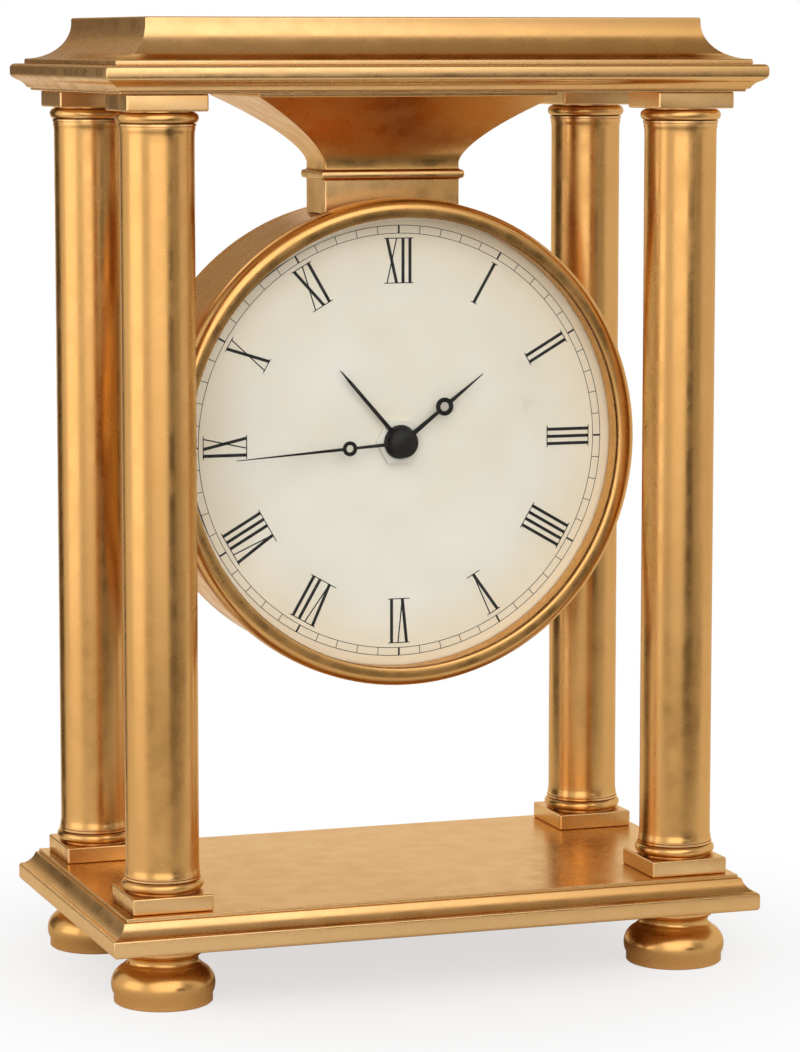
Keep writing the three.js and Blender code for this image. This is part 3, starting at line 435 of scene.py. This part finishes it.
# Movement: a moulded black case with the wheels between a nylon plate and its cover. Nylon wheels turn
# on thin pins, and a coil with a small board drives the rotor. All of it is closed in.
def clouded_coat(name, tone_dark, tone_light, low_gloss, high_gloss, shine=0.5):
    """Moulded stock or a thin coat with a little life in its tone and gloss."""
    finish, tree, shader, place = new_finish(name)
    cloud = add_node(tree, "TexNoise", {"Vector": place, "Scale": 420, "Detail": 4})
    tone = two_tones(tree, cloud, 0.3, tone_dark, 0.7, tone_light)
    gloss = add_node(tree, "MapRange", {"Value": cloud, "To Min": low_gloss, "To Max": high_gloss})
    grain = add_node(tree, "Bump", {"Height": cloud, "Strength": 0.12, "Distance": 0.03 * mm})
    feed(shader, {"Specular IOR Level": shine, "Base Color": tone, "Roughness": gloss, "Normal": grain})
    return finish


black_dark, black_light = (0.010, 0.010, 0.011, 1), (0.022, 0.022, 0.023, 1)
black_plastic = clouded_coat("moulded black plastic", black_dark, black_light, 0.42, 0.6)
pale_nylon = clouded_coat("natural nylon", (0.62, 0.58, 0.47, 1), (0.70, 0.66, 0.56, 1), 0.4, 0.55)
board_green = clouded_coat("green laminate", (0.020, 0.085, 0.035, 1), (0.034, 0.12, 0.05, 1), 0.35, 0.5)
plain_brass = plain_metal("plain brass", (0.44, 0.30, 0.09, 1), (0.54, 0.38, 0.13, 1), 0.24, 0.4)
copper_wire = plain_metal("wound copper", (0.28, 0.09, 0.03, 1), (0.40, 0.14, 0.05, 1), 0.3, 0.45)
dress(black_plastic, 0.35, "movement_case")
dress(pale_nylon, 0.05, "train_plate", "motion_wheel", "hour_wheel", "alarm_wheel")
dress(pale_nylon, 0.05, "third_wheel", "seconds_wheel", "fifth_wheel")
dress(plain_brass, 0.05, "centre_wheel", "buzzer")
dress(bright_steel, 0.05, "minute_arbor", "rotor")
dress(copper_wire, 0.1, "stator_coil")
dress(board_green, 0.05, "circuit_board")


# Movement cover: a moulded black lid with a sunk panel, a slot for the alarm slide and seven holes over
# the sounder. Raised marks show which way the knobs turn and how the cell lies.
def rounded_block(name, low, high, edge, segments):
    """A block between two corners in mm with rounded edges."""
    middle = [(a + b) / 2 * mm for a, b in zip(low, high)]
    block = raw_block(name, middle, [(b - a) * mm for a, b in zip(low, high)])
    soften(block, edge, segments)
    return block


lid_half, lid_foot, lid_front, lid_back = 28.0, 11.7, 6.4, 7.6
lid_low, lid_high = (-lid_half, lid_front, drum_z - lid_foot), (lid_half, lid_back, drum_z + lid_half)
lid = rounded_block("movement_lid", lid_low, lid_high, edge=0.4, segments=3)
pick(lid, "faces", lambda face: face.normal.y > 0.99)
bpy.ops.mesh.inset(thickness=1.1 * mm, depth=0)
bpy.ops.mesh.inset(thickness=0.3 * mm, depth=-0.3 * mm)
bpy.ops.object.mode_set(mode="OBJECT")
cut_front, cut_back = 5, 9
slide_up, slide_across, slot_left, slot_right, slot_rise = drum_z + 20.6, -12.0, -14.8, -5.2, 1.8
slot_low = (slot_left, cut_front, slide_up - slot_rise)
slot_high = (slot_right, cut_back, slide_up + slot_rise)
cutters = [rounded_block("slide_slot", slot_low, slot_high, edge=0.3, segments=2)]
sounder_across, sounder_up, hole_ring, hole_radius = -21.3, drum_z + 19.3, 2.6, 0.7
sound_hole = [(0, cut_front), (hole_radius, cut_front), (hole_radius, cut_back), (0, cut_back)]
for number in range(7):
    reach, turn = (hole_ring if number else 0), math.radians(60 * number)
    hole_x, hole_z = sounder_across + reach * math.cos(turn), sounder_up + reach * math.sin(turn)
    cutters.append(turn_on_lathe("sound_hole", sound_hole, (hole_x * mm, 0, hole_z * mm), deep, steps=16))
cut_away(lid, join_as("cutters", cutters))
take(lid)
bpy.ops.object.shade_smooth_by_angle(angle=smooth_under)
fit(lid, black_plastic, "black_plastic", "clock_frame", "movement_cover")

knob_places = {"time": (11.276, 4.104), "alarm": (-11.591, -3.106)}
arrow_radius, arrow_width, arrow_thick, arrow_head, arrow_y = 6.7, 0.6, 0.34, 1.35, 7.45
for use, (across, up) in knob_places.items():
    axle = (across * mm, 0, (drum_z + up) * mm)
    start = (axle[0] + arrow_radius * mm, arrow_y * mm, axle[2])
    bpy.ops.object.select_all(action="DESELECT")
    bpy.ops.mesh.primitive_plane_add(size=1, location=start)
    shank = bpy.context.object
    bpy.ops.transform.resize(value=(arrow_width * mm, arrow_thick * mm, 1))
    bpy.ops.object.mode_set(mode="EDIT")
    bpy.ops.mesh.spin(steps=30, angle=math.radians(230), center=axle, axis=deep)
    close_seams()
    settle()
    bpy.ops.object.select_all(action="DESELECT")
    bpy.ops.mesh.primitive_cylinder_add(
        vertices=3, radius=arrow_head * mm, depth=arrow_thick * mm, location=start,
        rotation=(math.pi / 2, 0, 0),
    )
    point = bpy.context.object
    settle()
    soften(point, 0.05, segments=1)
    arrow = join_as("turn_arrow_" + use, [shank, point])
    fit(arrow, black_plastic, "black_plastic", "clock_frame")

mark_up, mark_long, mark_thin, mark_front = drum_z - 8.2, 1.6, 0.3, 7.25
for sign, across in (("minus", -22.5), ("plus", 22.5)):
    bars = []
    for half_x, half_z in ((mark_long, mark_thin), (mark_thin, mark_long))[:2 if sign == "plus" else 1]:
        low = (across - half_x, mark_front, mark_up - half_z)
        high = (across + half_x, lid_back, mark_up + half_z)
        bars.append(rounded_block("bar", low, high, edge=0.1, segments=1))
    mark = join_as("cell_mark_" + sign, bars)
    fit(mark, black_plastic, "black_plastic", "clock_frame")


# Setting knobs and alarm slide: two black knobs with a ribbed rim pressed on their arbors, one for the
# time and one for the alarm, and a red moulded slide with grip ridges in the slot of the cover.
dress(black_plastic, 0.3, "time_set_knob", "alarm_set_knob")
rib_count, rib_half, rib_in, rib_out, rib_front, rib_back = 30, 0.25, 4.85, 5.2, 8.5, 11.0
for use, (across, up) in knob_places.items():
    axle = (across * mm, 0, (drum_z + up) * mm)
    low = (across - rib_half, rib_front, drum_z + up + rib_in)
    high = (across + rib_half, rib_back, drum_z + up + rib_out)
    rib = rounded_block("rib", low, high, edge=0.1, segments=2)
    ribs = [rib]
    for number in range(1, rib_count):
        ribs.append(copy_to(rib, "rib", (0, 0, 0)))
        turn = math.radians(360 / rib_count * number)
        bpy.ops.transform.rotate(value=turn, orient_axis="Y", center_override=axle)
        settle()
    rim = join_as("ribbed_rim_" + use, ribs)
    fit(rim, black_plastic, "black_plastic", "motion_work" if use == "time" else "alarm_setter")
switch_red = clouded_coat("red moulding", (0.30, 0.022, 0.012, 1), (0.36, 0.03, 0.018, 1), 0.28, 0.42)
dress(switch_red, 0.25, "alarm_switch")
ridge_half, ridge_rise, ridge_front, ridge_back = 0.22, 1.3, 9.4, 9.95
ridges = []
for step in (-1.5, -0.5, 0.5, 1.5):
    ridge_x = slide_across + step
    low = (ridge_x - ridge_half, ridge_front, slide_up - ridge_rise)
    high = (ridge_x + ridge_half, ridge_back, slide_up + ridge_rise)
    ridges.append(rounded_block("ridge", low, high, edge=0.15, segments=2))
grip = join_as("slide_grip", ridges)
fit(grip, switch_red, "switch_red", "alarm_slider")


# Cell: one round dry cell across the foot of the movement, a steel can in a plain blue jacket with a pale
# band, a crimped shoulder and a nub. It is pressed in between two sprung steel contacts.
cell_middle, cell_half = (0, -2.05 * mm, (drum_z - 19.25) * mm), 25.8
cell_section = [(0, -24.4), (5.6, -24.4), (5.9, -24.6), (6.7, -24.6), (7.1, -24.35), (7.25, -23.9)]
cell_section += [(7.25, 23.5), (7.1, 24.05), (6.6, 24.35), (5.9, 24.35), (5.6, 24.1), (3.3, 24.1)]
cell_section += [(2.9, 24.3), (2.7, 24.6), (2.7, 25.5), (2.4, cell_half), (0, cell_half)]
cell = turn_on_lathe("round_cell", cell_section, cell_middle, (1, 0, 0), steps=64)
jacket, jacket_tree, jacket_shader, jacket_place = new_finish("printed jacket")
jacket_across = add_node(jacket_tree, "SeparateXYZ", {"Vector": jacket_place})
jacket_along = add_node(jacket_tree, "MapRange", {
    "Value": jacket_across, "From Min": -cell_half * mm, "From Max": cell_half * mm,
})
bare_steel, blue_ink, pale_ink = (0.5, 0.5, 0.48, 1), (0.03, 0.075, 0.16, 1), (0.62, 0.60, 0.52, 1)
full_metal, thin_film = (1, 1, 1, 1), (0.2, 0.2, 0.2, 1)
inks = ((0, bare_steel), (0.03, blue_ink), (0.62, pale_ink), (0.70, blue_ink), (0.965, bare_steel))
metals = ((0, full_metal), (0.03, thin_film), (0.965, full_metal))
for channel, steps in (("Base Color", inks), ("Metallic", metals)):
    bands = jacket_tree.nodes.new("ShaderNodeValToRGB")
    stops = bands.color_ramp.elements
    bands.color_ramp.interpolation = "CONSTANT"
    stops.remove(stops[1])
    for at, tone in steps:
        stop = stops[0] if at == 0 else stops.new(at)
        stop.color = tone
    feed(bands, {"Fac": jacket_along})
    feed(jacket_shader, {channel: bands.outputs["Color"]})
jacket_scuff = add_node(jacket_tree, "TexNoise", {"Vector": jacket_place, "Scale": 260})
jacket_gloss = add_node(jacket_tree, "MapRange", {"Value": jacket_scuff, "To Min": 0.2, "To Max": 0.42})
feed(jacket_shader, {"Roughness": jacket_gloss})
fit(cell, jacket, "cell_jacket", "cell", "battery")
dress(bright_steel, 0.1, "battery_contact_positive", "battery_contact_negative")


# Dial: a thin copper disc under white fired enamel, eased at the rim, with black numerals and a fine
# minute circle fired on. It is clamped on its seat and by the movement's nut, which is lacquered white.
enamel_shade, enamel_light = (0.84, 0.775, 0.635, 1), (0.89, 0.85, 0.745, 1)
# Towards its rim the dial turns warm peach. This is partly aged enamel and partly a painted reflection of
# the gilt bezel's inner wall.
aged_rim_and_painted_reflection = (0.94, 0.78, 0.56, 1)
white_enamel, enamel_tree, enamel_shader, enamel_place = new_finish("white fired enamel")
enamel_cloud = add_node(enamel_tree, "TexNoise", {"Vector": enamel_place, "Scale": 55, "Detail": 6})
enamel_tone = two_tones(enamel_tree, enamel_cloud, 0.32, enamel_shade, 0.68, enamel_light)
enamel_centre = add_node(enamel_tree, "Mapping", {"Vector": enamel_place, "Location": (0, 0, -drum_z * mm)})
enamel_reach = add_node(enamel_tree, "VectorMath", {0: enamel_centre}, operation="LENGTH")
enamel_rim = add_node(enamel_tree, "MapRange", {
    "Value": enamel_reach, "From Min": 40 * mm, "From Max": 57 * mm, "To Max": 0.8,
})
rim_age_and_painted_reflection = add_node(enamel_tree, "Mix", {
    "Factor": enamel_rim, "A": enamel_tone, "B": aged_rim_and_painted_reflection,
}, data_type="RGBA")
enamel_gloss = add_node(enamel_tree, "MapRange", {"Value": enamel_cloud, "To Min": 0.22, "To Max": 0.4})
enamel_relief = add_node(enamel_tree, "Bump", {
    "Height": enamel_cloud, "Strength": 0.06, "Distance": 0.1 * mm,
})
feed(enamel_shader, {"Base Color": rim_age_and_painted_reflection, "Roughness": enamel_gloss, "Normal": enamel_relief})
feed(enamel_shader, {"Coat Weight": 0.35, "Coat Roughness": 0.12})
dial_front, dial_back, dial_bore = -11.6, -10.8, 4.3
dial_section = [(dial_bore, dial_front), (53.6, dial_front), (54.9, -11.45), (55.4, -11.1), (55.4, -10.9)]
dial_section += [(55.2, dial_back), (dial_bore, dial_back), (dial_bore, dial_front)]
dial = turn_on_lathe("enamel_dial", dial_section, drum_middle, deep, steps=144)
fit(dial, white_enamel, "white_enamel", "clock_frame", "dial")
white_lacquer = clouded_coat("white lacquer", (0.78, 0.73, 0.62, 1), (0.84, 0.80, 0.70, 1), 0.3, 0.45)
dress(white_lacquer, 0.2, "fixing_nut")


paint_at, paint_thick = -11.62, 0.06


def painted_stroke(foot_x, head_x, low, high, width):
    """One brush stroke: a thin upright bar whose head is slid sideways. Sizes in mm, middle at 0."""
    middle = (foot_x * mm, paint_at * mm, (low + high) / 2 * mm)
    stroke = raw_block("stroke", middle, (width * mm, paint_thick * mm, (high - low) * mm))
    pick(stroke, "verts", lambda corner: corner.co.z > (low + high) / 2 * mm)
    bpy.ops.transform.translate(value=((head_x - foot_x) * mm, 0, 0))
    bpy.ops.object.mode_set(mode="OBJECT")
    return stroke


def turn_about_dial(piece, degrees):
    """Turns a piece clockwise about the middle of the dial, seen from the front, and lifts it there."""
    take(piece)
    piece.rotation_euler = (0, math.radians(degrees), 0)
    piece.location = drum_middle
    settle()


dial_black = clouded_coat("fired black", (0.012, 0.011, 0.010, 1), (0.03, 0.027, 0.024, 1), 0.3, 0.5, 0.25)
numeral_low, numeral_high = 38.1, 48.8
strong, hair, serif, side_gap = 0.76, 0.30, 0.22, 0.75
letter_width = {"I": 1.75, "V": 3.7, "X": 3.9}
hours = ["XII", "I", "II", "III", "IIII", "V", "VI", "VII", "VIII", "IX", "X", "XI"]
for hour, letters in enumerate(hours):
    span = sum(letter_width[letter] for letter in letters)
    left = -span / 2
    strokes = []
    for letter in letters:
        middle, half = left + letter_width[letter] / 2, letter_width[letter] / 2 - side_gap
        leans = {
            "I": [(middle, middle, strong)],
            "V": [(middle, middle - half, strong), (middle, middle + half, hair)],
            "X": [(middle + half, middle - half, strong), (middle - half, middle + half, hair)],
        }
        for foot_x, head_x, width in leans[letter]:
            strokes.append(painted_stroke(foot_x, head_x, numeral_low, numeral_high, width))
        left += letter_width[letter]
    for level in (numeral_low, numeral_high):
        strokes.append(painted_stroke(0, 0, level - serif / 2, level + serif / 2, span))
    numeral = join_as("hour_numeral_" + letters, strokes)
    turn_about_dial(numeral, 30 * hour)
    fit(numeral, dial_black, "blackened_metal", "clock_frame")
circle_in, circle_out, five_mark, minute_mark, line_half, line_front = 50.0, 51.9, 0.45, 0.16, 0.07, -11.65
minute_marks = []
for minute in range(60):
    mark = painted_stroke(0, 0, circle_in, circle_out, minute_mark if minute % 5 else five_mark)
    mark.rotation_euler = (0, math.radians(6 * minute), 0)
    minute_marks.append(mark)
minute_circle = join_as("minute_marks", minute_marks)
turn_about_dial(minute_circle, 0)
fit(minute_circle, dial_black, "blackened_metal", "clock_frame")
for line, radius in (("inner", circle_in), ("outer", circle_out)):
    ring = [(radius - line_half, line_front), (radius + line_half, line_front)]
    ring += [(radius + line_half, dial_front), (radius - line_half, dial_front), ring[0]]
    circle = turn_on_lathe(line + "_minute_line", ring, drum_middle, deep, steps=144)
    fit(circle, dial_black, "blackened_metal", "clock_frame")


# Hands: three stamped steel hands with a black lacquer. The hour and minute hands have a pierced moon,
# the alarm hand is a plain needle, and a turned black cap closes the arbor in front.
hand_black = clouded_coat("black lacquer", (0.009, 0.008, 0.007, 1), (0.022, 0.02, 0.018, 1), 0.22, 0.4, 0.2)
sheet, sheet_ease, lap, moon_up, needle_tip = 0.4, 0.06, 0.2, 13.6, 0.16


def stamped_bar(low, high, low_width, high_width, front, back):
    """A flat tapering bar that stands up from the middle of the dial, sizes in mm."""
    middle = (0, (front + back) / 2 * mm, (low + high) / 2 * mm)
    bar = raw_block("bar", middle, (low_width * mm, (back - front) * mm, (high - low) * mm))
    pick(bar, "verts", lambda corner: corner.co.z > (low + high) / 2 * mm)
    bpy.ops.transform.resize(value=(high_width / low_width, 1, 1))
    bpy.ops.object.mode_set(mode="OBJECT")
    soften(bar, sheet_ease, segments=2)
    return bar


def flat_ring(up, bore, radius, front, back, steps):
    """A flat ring stamped from sheet with its edges eased, its middle up from the dial's centre."""
    section = [(bore, front + sheet_ease), (bore + sheet_ease, front), (radius - sheet_ease, front)]
    section += [(radius, front + sheet_ease), (radius, back), (bore, back), (bore, front + sheet_ease)]
    return turn_on_lathe("ring", section, (0, 0, up * mm), deep, steps)


def moon_hand(name, length, hub, bore, moon, stem, front):
    """Hub, tapering stem, pierced moon and pointed tip, all in one sheet."""
    back = front + sheet
    parts = [flat_ring(0, bore, hub, front, back, 48), flat_ring(moon_up, moon * 0.5, moon, front, back, 40)]
    parts.append(stamped_bar(hub - lap, moon_up + lap - moon, stem, stem * 0.7, front, back))
    parts.append(stamped_bar(moon_up - lap + moon, length, stem * 0.85, needle_tip, front, back))
    return join_as(name, parts)


alarm_front, alarm_back = -13.7, -13.3
alarm_hand = join_as("needle_alarm_hand", [
    flat_ring(0, 2.7, 3.6, alarm_front, alarm_back, 48),
    stamped_bar(3.4, 19.3, 1.0, 0.8, alarm_front, alarm_back),
    stamped_bar(19.2, 23.4, 0.8, needle_tip, alarm_front, alarm_back),
])
turn_about_dial(alarm_hand, 319)
fit(alarm_hand, hand_black, "blackened_metal", "alarm_work", "alarm_hand")
hour_hand = moon_hand("moon_hour_hand", length=26, hub=3.2, bore=1.9, moon=2.2, stem=1.2, front=-14.6)
turn_about_dial(hour_hand, 52)
fit(hour_hand, hand_black, "blackened_metal", "hour_work", "hour_hand")
minute_hand = moon_hand("moon_minute_hand", length=42, hub=3.1, bore=0.9, moon=1.8, stem=0.9, front=-15.5)
turn_about_dial(minute_hand, 266)
fit(minute_hand, hand_black, "blackened_metal", "minute_work", "minute_hand")
cap_section = [(0, -16.7), (1.4, -16.66), (2.5, -16.5), (3.2, -16.25), (3.5, -15.95), (3.6, -15.7)]
cap_section += [(3.55, -15.5), (0.9, -15.5), (0.9, -16.4), (0, -16.4)]
cap = turn_on_lathe("turned_centre_cap", cap_section, drum_middle, deep, steps=48)
fit(cap, hand_black, "blackened_metal", "minute_work", "centre_cap")


# Bezel and crystal: a turned gilt bronze ring with a rounded outer bead and a plain bore in front of
# the dial. A flat disc of clear glass with ground edges is sprung into its groove.
bezel_section = [(54.2, -19.3), (54.35, -19.5), (54.9, -19.7)]
bezel_section += arc(56.3, -17.4, 2.3, 262, 368, 12)
bezel_section += [(58.55, -16.6), (58.2, -16.3), (58.2, -15.9), (58.7, -15.6), (58.7, -13.2), (58.5, -13.0)]
bezel_section += [(55.4, -13.0), (55.4, -11.9), (54.2, -11.9), (54.2, -17.2), (55.7, -17.2)]
bezel_section += [(55.7, -19.2), (54.2, -19.2), (54.2, -19.3)]
bezel = turn_on_lathe("turned_bezel", bezel_section, drum_middle, deep, steps=144)
fit(bezel, spun_gilt, "gilt_bronze", "clock_frame", "bezel")

clear_glass, glass_tree, glass_shader, glass_place = new_finish("clear flat glass")
glass_film = add_node(glass_tree, "TexNoise", {"Vector": glass_place, "Scale": 60})
glass_wipe = add_node(glass_tree, "MapRange", {
    "Value": glass_film, "From Min": 0.45, "From Max": 0.8, "To Min": 0.0, "To Max": 0.03,
})
feed(glass_shader, {"Base Color": (0.985, 0.995, 0.99, 1), "Transmission Weight": 1.0, "IOR": 1.48})
feed(glass_shader, {"Specular IOR Level": 0.12, "Roughness": glass_wipe})
glass_ray = glass_tree.nodes.new("ShaderNodeLightPath")
glass_open = add_node(glass_tree, "BsdfTransparent", {})
glass_pass = add_node(glass_tree, "MixShader", {
    "Fac": glass_ray.outputs["Is Shadow Ray"], 1: glass_shader.outputs["BSDF"], 2: glass_open,
})
feed(glass_tree.nodes["Material Output"], {"Surface": glass_pass})
crystal_section = [(0, -19.1), (53.7, -19.1), (54.0, -19.1), (55.1, -19.0), (55.4, -18.7), (55.4, -17.7)]
crystal_section += [(55.1, -17.35), (54.8, -17.3), (0, -17.3)]
crystal = turn_on_lathe("glass_disc", crystal_section, drum_middle, deep, steps=144)
fit(crystal, clear_glass, "clear_glass", "clock_frame", "crystal")


# Rear cover: a spun disc of gilt bronze sheet with a rounded square window on the back of the movement,
# held in the drum by three slotted steel screws.
cover_front, cover_back, window_half, groove_inside = 15.6, 17.1, 30, 51.2
cover_section = [(0, cover_front), (55.4, cover_front), (55.4, 16.8), (55.1, cover_back), (52.5, cover_back)]
cover_section += [(52.2, 16.9), (51.6, 16.9), (51.3, cover_back), (0, cover_back)]
rear_cover = turn_on_lathe("spun_rear_cover", cover_section, drum_middle, deep, steps=132)
window_low, window_high = (-window_half, 8, drum_z - window_half), (window_half, 25, drum_z + window_half)
cut_away(rear_cover, rounded_block("window", window_low, window_high, edge=6, segments=8))
soften(rear_cover, 0.15, segments=2)


def inside_groove(face):
    """The flat back of the cover, inside the groove that runs round it."""
    middle = face.calc_center_median()
    return face.normal.y > 0.999 and math.hypot(middle.x, middle.z - drum_z * mm) < groove_inside * mm


pick(rear_cover, "faces", inside_groove)
bpy.ops.mesh.inset(thickness=0.5 * mm, depth=0)
bpy.ops.object.mode_set(mode="OBJECT")
keep_flats_flat(rear_cover)
fit(rear_cover, spun_gilt, "gilt_bronze", "clock_frame", "rear_cover")

screw_section = [(0, 13.5), (0.9, 13.5), (0.9, cover_back), (1.9, cover_back), (1.9, 17.6), (1.7, 17.85)]
screw_section += [(1.2, 18.0), (0, 18.0)]
slot_bottom, slot_half = 17.55, 0.22
for number, turn in enumerate(screw_turns, start=1):
    across, up = screw_place(turn)
    label = "slotted_screw_" + str(number)
    screw = turn_on_lathe(label, screw_section, (across * mm, 0, up * mm), deep, steps=32)
    low, high = (across - 3, slot_bottom, up - slot_half), (across + 3, 19, up + slot_half)
    cut_away(screw, rounded_block("slot", low, high, edge=0.02, segments=1))
    fit(screw, bright_steel, "bright_steel", "clock_frame", "rear_cover_screw_" + str(number))


# Studio: a plain white floor that runs out to a white surround, a large soft light high in front and a
# small one on the left. Cards out of the picture darken what the metal and the glass mirror.
bpy.ops.object.select_all(action="DESELECT")
bpy.ops.mesh.primitive_circle_add(vertices=96, radius=6, fill_type="NGON", location=(0, 0, 0))
floor = bpy.context.object
floor.name = "floor"
paper, paper_tree, paper_shader, paper_place = new_finish("white paper")
paper_tooth = add_node(paper_tree, "TexNoise", {"Vector": paper_place, "Scale": 900})
paper_tone = two_tones(paper_tree, paper_tooth, 0, (0.93, 0.93, 0.92, 1), 1, (0.97, 0.97, 0.965, 1))
feed(paper_shader, {"Roughness": 0.9, "Specular IOR Level": 0.0, "Base Color": paper_tone})
paper_reach = add_node(paper_tree, "VectorMath", {0: paper_place}, operation="LENGTH")
paper_far = add_node(paper_tree, "MapRange", {
    "Value": paper_reach, "From Min": 0.04, "From Max": 0.17,
}, interpolation_type="SMOOTHSTEP")
paper_ray = paper_tree.nodes.new("ShaderNodeLightPath").outputs
paper_mirrored = add_node(paper_tree, "Math", {
    0: paper_ray["Is Glossy Ray"], 1: paper_ray["Is Transmission Ray"],
}, operation="MAXIMUM")
paper_white = add_node(paper_tree, "Math", {0: paper_mirrored, 1: paper_far}, operation="MULTIPLY")
paper_shade = add_node(paper_tree, "MapRange", {"Value": paper_far, "To Min": 0.66})
paper_seen = add_node(paper_tree, "Math", {
    0: paper_ray["Is Camera Ray"], 1: paper_shade,
}, operation="MULTIPLY")
paper_share = add_node(paper_tree, "Math", {0: paper_seen, 1: paper_white}, operation="MAXIMUM")
paper_glow = add_node(paper_tree, "Emission", {})
paper_mix = add_node(paper_tree, "MixShader", {
    "Fac": paper_share, 1: paper_shader.outputs["BSDF"], 2: paper_glow,
})
feed(paper_tree.nodes["Material Output"], {"Surface": paper_mix})
floor.data.materials.append(paper)

world = bpy.data.worlds.new("white surround")
bpy.context.scene.world = world
world.use_nodes = True
sky_tree = world.node_tree
sky_seen = sky_tree.nodes["Background"]
feed(sky_seen, {"Color": (1, 1, 1, 1), "Strength": 1.0})
sky_light = add_node(sky_tree, "Background", {"Color": (1, 1, 1, 1), "Strength": 0.55})
sky_ray = sky_tree.nodes.new("ShaderNodeLightPath").outputs
sky_direct = add_node(sky_tree, "Math", {
    0: sky_ray["Is Camera Ray"], 1: sky_ray["Is Glossy Ray"],
}, operation="MAXIMUM")
sky_shown = add_node(sky_tree, "Math", {
    0: sky_direct, 1: sky_ray["Is Transmission Ray"],
}, operation="MAXIMUM")
surround = add_node(sky_tree, "MixShader", {
    "Fac": sky_shown, 1: sky_light, 2: sky_seen.outputs["Background"],
})
feed(sky_tree.nodes["World Output"], {"Surface": surround})


def soft_light(name, place, aim, size, watts):
    """A square soft box turned towards a point."""
    bpy.ops.object.light_add(type="AREA", location=place)
    lamp = bpy.context.object
    lamp.name = name
    lamp.data.size = size
    lamp.data.energy = watts
    lamp.rotation_euler = (Vector(aim) - Vector(place)).to_track_quat("-Z", "Y").to_euler()


mid_clock = (0, 0, 0.12)
soft_light("left_light", (-0.62, -0.06, 0.16), mid_clock, size=0.45, watts=0.7)
soft_light("front_light", (-0.25, -1.25, 0.78), mid_clock, size=1.7, watts=11.1)


def dark_card(name, corner_low, corner_high, tone):
    """A card out of the picture that only the metal sees, as a photographer darkens reflections."""
    low, high = Vector(corner_low), Vector(corner_high)
    card = raw_block(name, (low + high) / 2, high - low)
    grey = bpy.data.materials.new(name)
    grey.use_nodes = True
    feed(grey.node_tree.nodes["Principled BSDF"], {"Base Color": tone, "Roughness": 0.9})
    card.data.materials.append(grey)
    card.visible_camera = False
    card.visible_diffuse = False
    card.visible_shadow = False


near_black = (0.04, 0.035, 0.03, 1)
dark_card("floor_card", (-0.5, -0.42, 0.001), (0.6, -0.19, 0.003), (0.28, 0.24, 0.19, 1))
dark_card("side_card", (0.42, -0.75, 0.0), (0.95, -0.74, 0.6), (0.72, 0.68, 0.63, 1))
dark_card("glare_card", (0.10, -0.75, 0.0), (0.40, -0.748, 0.2), near_black)
dark_card("glare_floor", (0.02, -0.748, 0.001), (0.40, -0.42, 0.003), near_black)
dark_card("back_card", (-0.25, 0.299, 0.2), (0.04, 0.301, 0.42), (0.5, 0.45, 0.4, 1))
dark_card("flank_card", (-0.142, 0.085, 0.0), (-0.14, 0.30, 0.30), (0.12, 0.09, 0.06, 1))
dark_card("ceiling_card", (-0.7, -0.55, 0.8), (0.9, 0.4, 0.802), (0.55, 0.49, 0.42, 1))

camera_place = Vector((-0.3056, -0.9066, 0.2241))
camera_aim = Vector((0.00449, 0, 0.10637))
bpy.ops.object.camera_add(location=camera_place)
camera = bpy.context.object
camera.rotation_euler = (camera_aim - camera_place).to_track_quat("-Z", "Y").to_euler()
camera.data.sensor_fit = "VERTICAL"
camera.data.sensor_height = 36
camera.data.lens = 134.68
bpy.context.scene.camera = camera
bpy.context.scene.view_settings.view_transform = "Standard"
